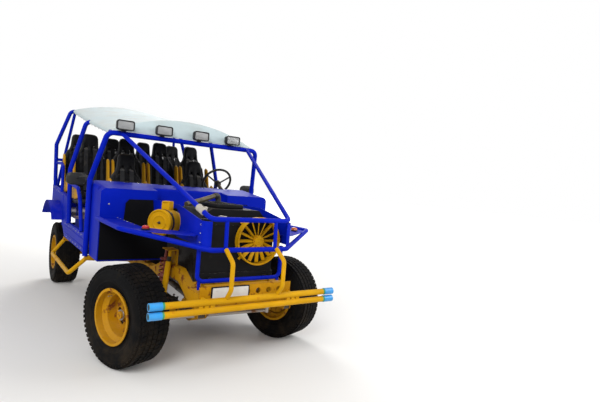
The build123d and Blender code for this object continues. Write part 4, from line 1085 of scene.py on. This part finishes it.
def back_outline():
    """The seat back's outline, wide at the shoulders and narrow at the head."""
    half = [(0.196, 0.006), (0.197, 0.15), (0.198, 0.30), (0.190, 0.42), (0.176, 0.505), (0.150, 0.555),
            (0.120, 0.595), (0.104, 0.64), (0.097, 0.70), (0.090, 0.76), (0.075, 0.792), (0.045, 0.806)]
    return half + [(-x, y) for x, y in half[::-1]]


def harness_slot(x):
    """One of the two upright openings under the head."""
    outline = rounded(0.026, 0.082, 0.012, 4, (x, 0.62))
    lean = 0.18 if x < 0 else -0.18
    return [(px + lean * (py - 0.62), py) for px, py in outline]


def cut_back(share, *sizes):
    """The seat back cut to a share of its width, with both openings."""
    outline = [(x * share, y) for x, y in back_outline()]
    return cut([outline, harness_slot(-slot_x), harness_slot(slot_x)], *sizes)


def leaning(x, y, z):
    """The place of a seat's back."""
    return put(x, y, z + 70) @ spin(pi / 2 - seat_lean, "X")


def build_covers(row, y, z, places, back_pad, cushion_pad):
    """The padded backs, cushions and side wings of one row."""
    on_backs = [leaning(x, y, z) @ shift(0, 0, -30) for x in places]
    backs = assembly("seat_backs_" + row, [(copied(back_pad), on_backs)], "seat_vinyl",
                     replaced=["seats_" + row], angle=80)
    flat = [put(x, y - 218, z + 96) @ spin(radians(-4.5), "X") for x in places]
    cushions = assembly("seat_cushions_" + row, [(copied(cushion_pad), flat)], "seat_vinyl", angle=80)
    stand = Matrix(((0, 0, 1, 0), (1, 0, 0, 0), (0, 1, 0, 0), (0, 0, 0, 1)))
    panels = [put(x + s * 187, y, z) @ stand for x in places for s in (1, -1)]
    wings = assembly("seat_wings_" + row, [(cut([wing_outline], 0.026, 0.011, 3), panels)],
                     "wing_vinyl", angle=50)


def build_shells(row, y, z, places):
    """The hard tubs and backs of one row."""
    tub = block(0.372, 0.405, 0.050, 0.018, 3)
    tubs = [put(x, y - 212, z + 40) @ spin(radians(-4), "X") for x in places]
    hulls = [leaning(x, y, z) @ shift(0, 0, -61) for x in places]
    assembly("seat_shells_" + row, [(tub, tubs), (cut_back(0.95, 0.012, 0.004), hulls)], "black_plastic")


def build_belts(row, y, z, places):
    """The shoulder and lap straps of one row with their buckles."""
    shoulders = [leaning(x, y, z) @ shift(s * 50, 0, 0) for x in places for s in (1, -1)]
    laps = [put(x, y - 120, z + 152) @ spin(pi / 2, "Z") @ spin(radians(12), "Y") for x in places]
    assembly("seat_belts_" + row, [
        (strip(shoulder_path, belt_width), shoulders), (strip(lap_path, belt_width),
                                                        laps)], "strap_webbing")
    buckles = [put(x, y - 128, z + 179) for x in places]
    assembly("belt_buckles_" + row, [(block(0.06, 0.016, 0.05, 0.004), buckles)], "bright_steel")


def build_seats():
    """Bucket seats of all three rows with their covers, side wings, shells and belts."""
    back_pad = pad_mesh("back_cover", cut_back(1, 0.050, 0.016, 3), back_seams)
    cushion = cut([rounded(0.392, 0.395, 0.045)], 0.082, 0.030, 4)
    cushion_pad = pad_mesh("cushion_cover", cushion, cushion_seams)
    for row, y, z, places in seat_rows:
        build_covers(row, y, z, places, back_pad, cushion_pad)
        build_shells(row, y, z, places)
        build_belts(row, y, z, places)


# Lamps

def fluted_glass():
    """The bulged and fluted glass of one roof lamp."""
    glass = bmesh.new()
    bmesh.ops.create_grid(glass, x_segments=44, y_segments=18, size=0.5)
    for vert in glass.verts:
        u, v = vert.co.x * 2, vert.co.y * 2
        pull = 1 - 0.10 * (abs(u) ** 8 * abs(v) ** 8)
        bulge = 0.005 * (1 - u * u) * (1 - v * v) + 0.0005 * cos(vert.co.x * 44 * pi)
        vert.co = (u * 0.071 * pull, v * 0.037 * pull, bulge)
    bmesh.ops.solidify(glass, geom=glass.faces[:], thickness=0.0022)
    return glass


def build_roof_lamps():
    """Shells, bezels, bowls, bulbs, glass and yoke bolts of the roof lamps."""
    facing = spin(pi / 2, "X")
    fronts = [put(x, lamp_y - 4, lamp_z) @ facing for x in lamp_x]
    shell = stepped(rounded(0.158, 0.090, 0.020),
                    ((0.024, 1.0), (0.030, 0.92), (0.014, 0.84), (0.006, 0.78)), -0.012)
    feet = [put(x, lamp_y + 66, 1883) for x in lamp_x]
    assembly("lamp_shells", [(shell, fronts), (block(0.036, 0.024, 0.028, 0.003), feet)], "black_plastic",
             replaced=["lamp_housings"])
    bezel = cut([rounded(0.162, 0.094, 0.022), rounded(0.140, 0.072, 0.014)], 0.012, 0.003)
    screws = [place @ Matrix.Translation((sx * 0.072, sy * 0.039, 0.005)) for place in fronts
              for sx in (-1, 1) for sy in (-1, 1)]
    assembly("lamp_bezels", [(bezel, fronts), (bolt(3), screws)], "black_plastic")
    bowl = turned([(0, -9), (12, -8.5), (24, -6), (34, -2), (40, 2), (42, 2), (36, -4), (24, -9), (0, -11)],
                  40)
    wide = Matrix.Diagonal((1.60, 0.84, 1, 1))
    bulb = turned([(0, 4), (5, 3), (7, -1), (6, -8), (0, -8)], 16)
    deep = [place @ shift(0, 0, -6) for place in fronts]
    assembly("lamp_bowls", [(bowl, [d @ wide for d in deep]), (bulb, deep)], "chrome")
    assembly("lamp_glasses", [(fluted_glass(), fronts)], "lamp_glass", replaced=["lamp_lenses"], angle=60)
    yokes = [put(x + side * 18, lamp_y + 66, 1877) @ spin(side * pi / 2, "Y") for x in lamp_x
             for side in (-1, 1)]
    assembly("lamp_yoke_bolts", [(bolt(7), yokes)], "worn_steel")


def build_markers():
    """The domed markers on the front fenders."""
    base = [(0, 0), (34, 0), (34, 5), (30, 8), (0, 8)]
    dome = [(27, 7), (28, 12), (27, 20), (22, 27), (12, 31), (0, 32)]
    for side, name, finish in ((1, "left", "amber_plastic"), (-1, "right", "red_plastic")):
        spot = [put(side * marker_at[0], marker_at[1], marker_at[2] - 5)]
        assembly("marker_base_" + name, [(turned(base), spot)], "black_plastic")
        assembly("marker_dome_" + name, [(turned(dome), spot)], finish, replaced=["marker_lamps"])


def build_tail_lamps():
    """Rims and bars of the tail lamps."""
    rear = spin(-pi / 2, "X")
    tails = [put(x, 3521, 1130) @ rear for x in tail_lamps_x]
    rim = cut([rounded(0.158, 0.098, 0.017), rounded(0.134, 0.074, 0.010)], 0.008, 0.002)
    bars = [t @ Matrix.Translation((dx, 0, 0.0)) for t in tails for dx in (-0.022, 0.022)]
    assembly("tail_lamp_rims", [(rim, tails), (block(0.004, 0.076, 0.007, 0.001), bars)], "black_plastic")


# Nose and engine bay

def build_fan():
    """The fan's hub cap and blade rivets, and a rolled lip with bolted tabs on its ring."""
    ahead = put(*fan_centre) @ spin(pi / 2, "X")
    cap = turned([(0, 24), (10, 24), (13, 21), (30, 19), (34, 16), (44, 15), (45, 13), (0, 13)], 40)
    rivets = [ahead @ spin(2 * pi * i / 6, "Z") @ shift(38, 0, 14.5) for i in range(6)]
    assembly("fan_hub_cap", [(cap, [ahead]), (bolt(4), rivets)], "yellow_paint", "fan_rotor")
    rolled = turned([(186, 20), (190, 17), (197, 20), (198, 26), (193, 30), (187, 26)], 72, loop=True)
    tabs = [ahead @ spin(pi / 4 + pi / 2 * i, "Z") @ shift(200, 0, -34) for i in range(4)]
    assembly("fan_ring_lip", [(rolled, [ahead]), (block(0.030, 0.022, 0.005, 0.0015), tabs),
                              (bolt(5), [t @ shift(4, 0, 2) for t in tabs])], "yellow_paint")


def build_air_filter():
    """The filter's dished lid with its wing nut, its clamp and the rim of its inlet."""
    place = aimed(at(*filter_centre), filter_axis)
    lid = turned([(105, 8), (106, 14), (105, 22), (101, 27), (94, 26), (88, 20), (64, 19), (60, 23),
                  (54, 24), (48, 20), (40, 18.6), (0, 18.6)], 72)
    assembly("filter_lid", [(lid, [place])], "yellow_paint")
    nut = turned([(0, 18), (11, 18), (11, 21), (6, 23), (5, 32), (0, 33)], 16)
    ears = [place @ shift(s * 9, 0, 29) @ spin(s * 0.5, "Y") for s in (1, -1)]
    lugs = [place @ spin(turn, "Z") @ shift(106, 0, -26) for turn in (0.8, 2.6, 5.0)]
    clamp = turned([(103.8, -33), (105.6, -33), (105.6, -19), (103.8, -19)], 72, loop=True)
    assembly("filter_clamp", [(nut, [place]), (block(0.014, 0.003, 0.010, 0.001), ears), (clamp, [place]),
                              (block(0.008, 0.022, 0.026, 0.002), lugs)], "oily_metal")
    lip = cut([rounded(0.078, 0.068, 0.008), rounded(0.060, 0.050, 0.005)], 0.010, 0.002)
    up = aimed(at(*(filter_centre + filter_axis * -80)) + Vector(mm(0, 0, 165)), (0, 0, 1))
    turn = spin(Vector((1, 0)).angle_signed(Vector((-filter_axis.y, filter_axis.x))), "Z")
    assembly("filter_inlet_rim", [(lip, [up @ turn])], "yellow_paint")


def build_hoses():
    """The two radiator hoses and the breather's elbow."""
    hoses = bmesh.new()
    top = [at(-250, -352, 1150), at(-250, -300, 1160), at(-240, -250, 1130), at(-170, -215, 1105),
           at(-120, -190, 1100)]
    low = [at(235, -352, 745), at(245, -310, 735), at(215, -260, 700), at(160, -230, 680),
           at(140, -190, 690)]
    stamp(hoses, run(top, 0.024), Matrix())
    stamp(hoses, run(low, 0.024), Matrix())
    breather = [at(14, 142, 1343), at(36, 148, 1350), at(58, 156, 1346), at(62, 158, 1310),
                at(62, 158, 1290)]
    stamp(hoses, run(breather, 0.026), Matrix())
    piece("radiator_hoses", hoses, "hose_rubber")


def build_engine_fittings():
    """Filler cap, belt pulleys, breather pipe and rocker cover."""
    neck = turned([(0, 0), (26, 0), (26, 12), (30, 14), (30, 22), (26, 25), (0, 25)], 32)
    grips = block(0.070, 0.012, 0.010, 0.002)
    cap = put(-150, -385, 1181)
    pipe = run([at(-330, -60, 1268), at(-200, 20, 1290), at(-60, 100, 1322), at(10, 140, 1342)], 0.021)
    pulleys = [put(x, -191, z) @ spin(pi / 2, "X") @ Matrix.Diagonal((size, size, 1, 1))
               for x, z, size in ((0, 640, 1.0), (-140, 860, 0.62), (150, 840, 0.7))]
    pulley = turned([(0, 0), (70, 0), (82, 3), (82, 7), (70, 15), (82, 23), (82, 27), (60, 28),
                     (55, 22), (0, 22)], 48)
    assembly("engine_fittings", [
        (neck, [cap]), (grips, [cap @ shift(0, 0, 20)]), (pulley, pulleys)], "worn_steel")
    assembly("breather_pipe", [(pipe, [Matrix()])], "olive_pipe")
    cover = block(0.26, 0.48, 0.038, 0.012, 3)
    ribs = [put(60, y, 1282) for y in range(-60, 341, 66)]
    studs = [put(60 + s * 112, y, 1282) for s in (-1, 1) for y in (-70, 70, 210, 350)]
    box_top = [put(60, 140, 1264)]
    assembly("rocker_cover", [(cover, box_top), (block(0.22, 0.010, 0.010, 0.003), ribs), (bolt(6), studs)],
             "black_enamel")


def build_splash_and_shade_panel():
    """The matte black panel behind the engine, in front of the cowl's face, with a hole for the steering
    shaft; its black is partly underseal and partly painted shade where the cowl lies in shade.
    """
    half = ((0, 700), (846, 700), (846, 1056), (650, 1056), (640, 1215), (610, 1250),
            (392, 1254), (384, 1186))
    outline = [mm(x, z) for x, z in half] + [mm(-x, z) for x, z in half[:0:-1]]
    hole = [(0.4918 + 0.026 * cos(2 * pi * i / 20), 1.0834 + 0.026 * sin(2 * pi * i / 20))
            for i in range(20)]
    stand = Matrix(((1, 0, 0, 0), (0, 0, -1, at(0, 592, 0).y), (0, 1, 0, 0), (0, 0, 0, 1)))
    assembly("splash_panel", [(cut([outline, hole], 0.003, 0.001), [stand])], "underseal")


def build_cloth_binding():
    """The cloth tied round the right nose tube."""
    foot, head = at(-347, -602, 1198), at(-662, 780, 1849)
    lean = (head - foot).normalized()
    wraps = []
    for i in range(9):
        spot = foot + lean * (0.106 + 0.009 * i)
        tilt = Vector((0.16 * sin(i * 2.1), 0.12 * cos(i * 1.7), 0.1 * sin(i)))
        wraps.append(aimed(spot, lean + tilt))
    band = turned([(19.2, -6), (24, -7), (28, -2), (27, 4), (23, 7), (19.2, 6)], 28, loop=True)
    knot = turned([(0, -22), (9, -19), (17, -8), (15, 4), (10, 16), (0, 20)], 14)
    at_knot = aimed(foot + lean * 0.14 + Vector((0.022, -0.020, 0.010)), (1, 0.3, 0.4))
    binding = assembly("cloth_binding", [(band, wraps), (knot, [at_knot])], "tie_cloth", angle=60)
    lay_cloth(binding.data, lambda place: (place.x + place.y, place.z))


def build_bumper_trim():
    """The tape round the bumper's ends, their plugs, and the welds between its tubes."""
    tape = turned([(23.8, -7), (24.9, -7), (24.9, 7), (23.8, 7)], 40, loop=True)
    ends = [aimed(at(s * 689, bumper_y, z), (1, 0, 0)) for s in (1, -1) for z in bumper_tubes_z]
    assembly("bumper_tape", [(tape, ends)], "tape_green")
    plugs = [aimed(at(s * 779, bumper_y, z), (s, 0, 0)) for s in (1, -1) for z in bumper_tubes_z]
    plug = turned([(0, 0), (21.5, 0), (21.5, 4), (17, 6.5), (0, 7)], 32)
    assembly("bumper_end_plugs", [(plug, plugs)], "black_plastic")
    between_tubes = sum(bumper_tubes_z) / 2
    joints = [put(s * x, bumper_y, between_tubes) for s in (1, -1) for x in (375, 330, 420)]
    assembly("bumper_welds", [(block(0.034, 0.016, 0.030, 0.003), joints)], "yellow_paint")


def build_plate_rim():
    """The number plate's rim and its two bolts."""
    plate = put(*plate_at) @ spin(pi / 2, "X")
    rim = cut([rounded(0.298, 0.098, 0.008), rounded(0.286, 0.086, 0.006)], 0.0022, 0.0007)
    screws = [plate @ Matrix.Translation((s * 0.118, 0.030, 0.001)) for s in (1, -1)]
    assembly("plate_rim", [(rim, [plate]), (bolt(5), screws)], "plate_paint")


# Suspension

def damper_ends(y):
    """Foot and head of a damper."""
    return at(damper_foot[0], y, damper_foot[1]), at(damper_head[0], y, damper_head[1])


def build_suspension():
    """Coil springs round the red dampers, and clamp bolts on the leaf springs."""
    coils = bmesh.new()
    rods = bmesh.new()
    for y in (38.0, wheelbase + 38.0):
        foot, head = damper_ends(y)
        span = (head - foot).length
        top = span * 1000
        seat = aimed(foot, head - foot)
        stamp(coils, coil(0.036, 0.0062, span - 0.150, 8), *both_sides([seat @ shift(0, 0, 60)]))
        body = turned([(0, 0), (14, 0), (14, 40), (44, 44), (44, 52), (24, 54), (24, 230), (20, 236),
                       (10, 238), (10, top - 92), (42, top - 88), (44, top - 76), (14, top - 72),
                       (14, top), (0, top)], 28)
        stamp(rods, body, *both_sides([seat]))
    piece("coil_springs", coils, "red_primer")
    piece("damper_bodies", rods, "red_primer", replaced=["coil_dampers"])
    clamps = bmesh.new()
    for y in (0.0, wheelbase):
        for dy in (-42, 42):
            loop = [at(spring_x - 37, y + dy, 492), at(spring_x - 37, y + dy, 350),
                    at(spring_x - 26, y + dy, 340), at(spring_x + 26, y + dy, 340),
                    at(spring_x + 37, y + dy, 350), at(spring_x + 37, y + dy, 492)]
            stamp(clamps, run(loop, 0.006, smooth=False), *both_sides([Matrix()]))
            heads = [put(spring_x + s * 37, y + dy, 486) for s in (1, -1)]
            stamp(clamps, bolt(9), *both_sides(heads))
    piece("spring_clamps", clamps, "oily_metal")
    boots = turned([(14, 0), (20, 6), (15, 12), (20, 18), (15, 24), (20, 30), (15, 36), (18, 40)], 24)
    tops = []
    for y in (-42.0, wheelbase - 42.0):
        foot, head = damper_ends(y)
        tops.append(aimed(foot + (head - foot).normalized() * ((head - foot).length - 0.088), head - foot))
    assembly("damper_boots", [(boots, both_sides(tops))], "hose_rubber")


# Cabin

def build_dash():
    """Instruments and switches."""
    board = put(550, cowl_back + 12, dash_z) @ spin(-pi / 2, "X")
    pod = cut([rounded(0.34, 0.078, 0.03)], 0.022, 0.006, 3)
    assembly("instrument_pod", [(pod, [board])], "black_plastic")
    rims = [board @ shift(x, 0, 11) for x in gauges_x]
    rim = turned([(27, 0), (33, 0), (33, 5), (30, 8), (27, 5)], 36, loop=True)
    assembly("gauge_rims", [(rim, rims)], "chrome")
    dial = turned([(0, 1.2), (28, 1.2), (28, 0), (0, 0)], 32)
    ticks = []
    for face in rims:
        for i in range(11):
            ticks.append(face @ spin(radians(-130 + 26 * i), "Z") @ Matrix.Translation((0, 0.022, 0.0016)))
        ticks.append(face @ spin(0.7, "Z") @ Matrix.Translation((0, 0.009, 0.0022))
                     @ Matrix.Diagonal((0.8, 3.4, 1, 1)))
    assembly("gauge_dials", [(dial, rims)], "black_enamel")
    assembly("gauge_marks", [(block(0.0018, 0.006, 0.0006, 0.0002, 1), ticks)], "plate_paint")
    keys = [put(x, cowl_back + 4, dash_z) @ spin(-pi / 2, "X") for x in switches_x]
    toggle = turned([(0, 0), (9, 0), (9, 4), (5, 5), (3, 6), (4, 18), (0, 19)], 16)
    assembly("toggle_switches", [(toggle, keys)], "bright_steel")


def build_controls():
    """Gear levers, pedals and the passenger's grab handle."""
    levers = bmesh.new()
    for x, y, lean in gear_levers:
        foot = at(x, y, floor_top + 60)
        stamp(levers, run([foot, foot + Vector((0, 0.02, 0.12)), foot + Vector((lean * 0.3, 0.03, 0.30))],
                          0.007),
              Matrix())
    piece("gear_levers", levers, "bright_steel")
    knob = turned([(0, -4), (10, -2), (20, 10), (22, 20), (17, 33), (0, 38)], 24)
    gaiter = turned([(62, 0), (60, 8), (46, 16), (44, 26), (30, 34), (28, 46), (16, 54), (11, 66), (0, 66)],
                    28)
    tops = [put(x + lean * 300, y + 30, 1044) for x, y, lean in gear_levers]
    feet = [put(x, y, floor_top) for x, y, lean in gear_levers]
    assembly("lever_knobs", [(knob, tops), (gaiter, feet)], "black_plastic")
    pads = []
    arms = bmesh.new()
    for x in pedals_x:
        pad = at(x, 1010, 812)
        stamp(arms, run([pad, pad + Vector((0, -0.03, 0.07)), pad + Vector((0, -0.06, 0.18))], 0.007),
              Matrix())
        pads.append(aimed(pad + Vector((0, 0.006, 0)), (0, 1, 0.5)))
    piece("pedal_arms", arms, "worn_steel")
    assembly("pedal_pads", [(block(0.062, 0.078, 0.012, 0.004), pads)], "hose_rubber")
    bar = [at(-640, cowl_back + 4, 1352), at(-640, cowl_back + 46, 1362), at(-600, cowl_back + 56, 1364),
           at(-420, cowl_back + 56, 1364), at(-300, cowl_back + 56, 1364), at(-260, cowl_back + 46, 1362),
           at(-260, cowl_back + 4, 1352)]
    assembly("grab_handle", [(run(bar, 0.012), [Matrix()])], "black_plastic")


def build_mirrors():
    """Both mirrors on their bent stays."""
    behind = spin(-pi / 2, "X")
    back = stepped(rounded(0.188, 0.122, 0.046, 8),
                   ((0.016, 1.0), (0.010, 0.95), (0.007, 0.86), (0.004, 0.70)))
    stay = run([at(872, 977, 1424), at(905, 1050, 1428), at(940, 1130, 1420), at(948, 1196, 1400)], 0.007)
    heads = both_sides([put(*mirror_at) @ behind])
    assembly("mirror_heads", [(back, heads), (stay, both_sides([Matrix()]))], "black_plastic",
             replaced=["mirrors"])
    glass = cut([rounded(0.170, 0.104, 0.038)], 0.003, 0.001)
    faces = both_sides([shift(0, 0.6, 0) @ put(*mirror_at) @ behind])
    assembly("mirror_glasses", [(glass, faces)], "chrome")


def build_horn_button():
    """The steering wheel's centre with its screws."""
    boss = turned([(0, 0), (30, 0), (32, 4), (28, 10), (12, 14), (0, 14)], 32)
    toward = Vector((0, cos(steering_tilt), sin(steering_tilt)))
    hub = aimed(at(*steering_at) + toward * -0.016, toward)
    screws = [hub @ spin(2 * pi * i / 6, "Z") @ shift(24, 0, 9) for i in range(6)]
    assembly("horn_button", [(boss, [hub]), (bolt(3), screws)], "black_plastic", "steering_wheel")


# Body trim

def row_of(start, end, count, normal):
    """Bolts spaced evenly between two points."""
    return [aimed(at(*start).lerp(at(*end), i / (count - 1)), normal, i * 0.7) for i in range(count)]


def build_body_trim():
    """Bolts, beads and hinges on the sheet metal, with weld beads where tubes meet."""
    heads = [head for row in bolt_rows for head in row_of(*row)]
    assembly("panel_bolts", [(bolt(6), both_sides(heads))], "bright_steel")
    beads = bmesh.new()
    sill_bead = block(0.006, 1.13, 0.012, 0.0028)
    stamp(beads, sill_bead, *both_sides([put(side_x + 1, 1660, z) for z in (735, 812)]))
    seam = block(0.006, 0.010, 0.42, 0.0028)
    stamp(beads, seam, *both_sides([put(side_x + 1, 2500, 1000)]))
    cowl_bead = block(0.012, 0.006, 0.46, 0.0028)
    stamp(beads, cowl_bead, *both_sides([put(400, 600, 960)]))
    tail_bead = block(1.50, 0.006, 0.012, 0.0028)
    stamp(beads, tail_bead, *[put(0, 3501, z) for z in (990, 1200)])
    piece("pressed_beads", beads, "blue_paint")
    hinge = turned([(0, -22), (7, -22), (7, 22), (0, 22)], 16)
    hinges = [aimed(at(x, 1072, 1397), (1, 0, 0)) for x in hinges_x]
    leaves = [put(x, 1052, 1394) for x in hinges_x]
    assembly("cowl_hinges", [(hinge, hinges), (block(0.042, 0.036, 0.004, 0.001), leaves)], "black_enamel")
    weld = turned([(22.5, -5), (27, -3), (28.5, 0), (27, 3), (22.5, 5)], 28, loop=True)
    joints = [aimed(at(s * side_x, y, z), (0, 0, 1)) for y, z in ((985, 1400), (2000, 874))
              for s in (1, -1)]
    assembly("weld_beads", [(weld, joints)], "blue_paint")


def build_tail():
    """Exhaust tip, tow ring and the silencer's straps."""
    tip = turned([(25, 0), (28, 0), (30, 4), (30, 60), (27, 62), (25, 58)], 32, loop=True)
    band = turned([(80.5, -12), (83, -12), (83, 12), (80.5, 12)], 48, loop=True)
    squash = Matrix.Diagonal((1.25, 0.78, 1, 1))
    bands = [aimed(at(230, y, 520), (0, 1, 0)) @ squash for y in (2380, 2640)]
    assembly("exhaust_tip", [(tip, [aimed(at(298, 3460, 600), (0, 1, 0))]), (band, bands)], "worn_steel")
    ring = run([at(60 * cos(2 * pi * i / 12), 3514, 660 + 42 * sin(2 * pi * i / 12)) for i in range(12)],
               0.008, loop=True)
    eye = block(0.13, 0.018, 0.04, 0.004)
    assembly("tow_ring", [(ring, [Matrix()]), (eye, [put(0, 3508, 702)])], "yellow_paint")


# Stage

def build_floor(settings):
    """The pale floor, which fades into the white room far from the vehicle."""
    ground = bmesh.new()
    bmesh.ops.create_grid(ground, x_segments=1, y_segments=1, size=60)
    mesh = bpy.data.meshes.new("floor")
    ground.to_mesh(mesh)
    ground.free()
    floor = bpy.data.objects.new("floor", mesh)
    bpy.context.scene.collection.objects.link(floor)
    surface = bpy.data.materials.new("studio_floor")
    surface.use_nodes = True
    tree = surface.node_tree
    shader = tree.nodes["Principled BSDF"].inputs
    shader["Base Color"].default_value = settings.floor
    shader["Roughness"].default_value = 0.9
    shader["Specular IOR Level"].default_value = 0.1
    shader["Emission Color"].default_value = (1, 1, 1, 1)
    place = wire(tree, "ShaderNodeTexCoord").outputs["Object"]
    away = wire(tree, "ShaderNodeVectorMath", {0: place}, operation="LENGTH").outputs["Value"]
    straight = wire(tree, "ShaderNodeLightPath").outputs["Is Camera Ray"]
    glow = math(tree, "MULTIPLY", ramp(tree, away, 4.0, 15.0), straight)
    tree.links.new(glow, shader["Emission Strength"])
    mesh.materials.append(surface)


def build_room(settings):
    """White light from all round, seen as plain white by the camera, in glass and in shine."""
    world = bpy.data.worlds.new("studio")
    bpy.context.scene.world = world
    world.use_nodes = True
    tree = world.node_tree
    path = wire(tree, "ShaderNodeLightPath").outputs
    seen = math(tree, "MAXIMUM", path["Is Camera Ray"], path["Is Transmission Ray"])
    seen = math(tree, "MAXIMUM", seen, path["Is Glossy Ray"])
    strength = ramp(tree, seen, 0.0, 1.0, settings.sky, 1.0)
    back = tree.nodes["Background"]
    back.inputs["Color"].default_value = (1, 1, 1, 1)
    tree.links.new(strength, back.inputs["Strength"])


def build_lights(settings):
    """The three soft lights."""
    for name, size, place, target in studio_lights:
        lamp = bpy.data.lights.new(name, "AREA")
        lamp.energy = getattr(settings, name)
        lamp.size = size
        holder = bpy.data.objects.new(name, lamp)
        holder.location = place
        holder.rotation_euler = (Vector(target) - Vector(place)).to_track_quat("-Z", "Y").to_euler()
        bpy.context.scene.collection.objects.link(holder)


def build_camera(settings):
    """The camera at the photograph's angle."""
    yaw, pitch, roll = camera_turns
    ahead = Vector((sin(yaw) * cos(pitch), cos(yaw) * cos(pitch), sin(pitch)))
    level = Vector((cos(yaw), -sin(yaw), 0))
    above = level.cross(ahead)
    right = cos(roll) * level + sin(roll) * above
    up = cos(roll) * above - sin(roll) * level
    lens = bpy.data.cameras.new("camera")
    lens.lens = settings.lens
    lens.sensor_width = 36
    lens.clip_end = 300
    camera = bpy.data.objects.new("camera", lens)
    camera.matrix_world = Matrix.Translation(camera_at) @ Matrix((right, up, -ahead)).transposed().to_4x4()
    bpy.context.scene.collection.objects.link(camera)
    bpy.context.scene.camera = camera


def build_stage():
    """Pale floor, white room, three soft lights and the camera."""
    settings = bpy.context.scene.buggy_stage
    bpy.context.scene.view_settings.view_transform = "Standard"
    build_floor(settings)
    build_room(settings)
    build_lights(settings)
    build_camera(settings)


# Operators

class StageOperator(bpy.types.Operator):
    """Set up the floor, the lights and the camera"""

    bl_idname = "buggy.stage"
    bl_label = "Studio"

    def execute(self, context):
        build_stage()
        return {"FINISHED"}


class FinishesOperator(bpy.types.Operator):
    """Mix the finishes and paint the solids"""

    bl_idname = "buggy.finishes"
    bl_label = "Finishes"

    def execute(self, context):
        build_finishes()
        return {"FINISHED"}


class TyresOperator(bpy.types.Operator):
    """Fit the four treaded tyres"""

    bl_idname = "buggy.tyres"
    bl_label = "Tyres"

    def execute(self, context):
        build_tyres()
        return {"FINISHED"}


class WheelFittingsOperator(bpy.types.Operator):
    """Add nuts, valves, hub rings and dark brake faces, partly painted shade behind the discs, to the wheels
    """

    bl_idname = "buggy.wheel_fittings"
    bl_label = "Wheel fittings"

    def execute(self, context):
        build_wheel_fittings()
        return {"FINISHED"}


class CanopyOperator(bpy.types.Operator):
    """Stretch the canopy over its bows"""

    bl_idname = "buggy.canopy"
    bl_label = "Canopy"

    def execute(self, context):
        build_canopy()
        return {"FINISHED"}


class SeatsOperator(bpy.types.Operator):
    """Upholster the bucket seats and hang their belts"""

    bl_idname = "buggy.seats"
    bl_label = "Seats"

    def execute(self, context):
        build_seats()
        return {"FINISHED"}


class LampsOperator(bpy.types.Operator):
    """Glaze the roof lamps, markers and tail lamps"""

    bl_idname = "buggy.lamps"
    bl_label = "Lamps"

    def execute(self, context):
        build_roof_lamps()
        build_markers()
        build_tail_lamps()
        return {"FINISHED"}


class EngineBayOperator(bpy.types.Operator):
    """Dress the fan, the air filter, the radiator and the engine's top"""

    bl_idname = "buggy.engine_bay"
    bl_label = "Engine bay"

    def execute(self, context):
        build_fan()
        build_air_filter()
        build_hoses()
        build_engine_fittings()
        build_splash_and_shade_panel()
        return {"FINISHED"}


class NoseOperator(bpy.types.Operator):
    """Add the nose's cloth binding, bumper tape and plate rim"""

    bl_idname = "buggy.nose"
    bl_label = "Nose fittings"

    def execute(self, context):
        build_cloth_binding()
        build_bumper_trim()
        build_plate_rim()
        return {"FINISHED"}


class SuspensionOperator(bpy.types.Operator):
    """Wind the coil springs and clamp the leaf springs"""

    bl_idname = "buggy.suspension"
    bl_label = "Suspension"

    def execute(self, context):
        build_suspension()
        return {"FINISHED"}


class CabinOperator(bpy.types.Operator):
    """Fit instruments, levers, pedals, mirrors and the horn button"""

    bl_idname = "buggy.cabin"
    bl_label = "Cabin"

    def execute(self, context):
        build_dash()
        build_controls()
        build_mirrors()
        build_horn_button()
        return {"FINISHED"}


class BodyTrimOperator(bpy.types.Operator):
    """Add bolts, beads, hinges and welds to the body, and dress the tail"""

    bl_idname = "buggy.body_trim"
    bl_label = "Body trim"

    def execute(self, context):
        build_body_trim()
        build_tail()
        return {"FINISHED"}


steps = (FinishesOperator, StageOperator, TyresOperator, WheelFittingsOperator, CanopyOperator,
         SeatsOperator, LampsOperator, EngineBayOperator, NoseOperator, SuspensionOperator, CabinOperator,
         BodyTrimOperator)
settings_groups = {"buggy_paint": PaintSettings, "buggy_tyres": TyreSettings, "buggy_cloth": ClothSettings,
                   "buggy_stage": StageSettings}


class BuggyPanel(bpy.types.Panel):
    """The buggy's settings and steps."""

    bl_idname = "VIEW3D_PT_buggy"
    bl_label = "Dune buggy"
    bl_space_type = "VIEW_3D"
    bl_region_type = "UI"
    bl_category = "Buggy"

    def draw(self, context):
        for name, group in settings_groups.items():
            values = getattr(context.scene, name)
            for label in group.__annotations__:
                self.layout.prop(values, label)
        for step in steps:
            self.layout.operator(step.bl_idname)


def register():
    """Registers the settings, the operators and the panel."""
    for name, group in settings_groups.items():
        bpy.utils.register_class(group)
        setattr(bpy.types.Scene, name, PointerProperty(type=group))
    for step in steps:
        bpy.utils.register_class(step)
    bpy.utils.register_class(BuggyPanel)


def unregister():
    """Takes them all away again."""
    bpy.utils.unregister_class(BuggyPanel)
    for step in reversed(steps):
        bpy.utils.unregister_class(step)
    for name, group in settings_groups.items():
        delattr(bpy.types.Scene, name)
        bpy.utils.unregister_class(group)


def main():
    """Builds the dressed buggy."""
    register()
    for step in steps:
        getattr(bpy.ops.buggy, step.bl_idname.split(".")[1])()
    bpy.context.view_layer.update()


if __name__ == "__main__":
    main()
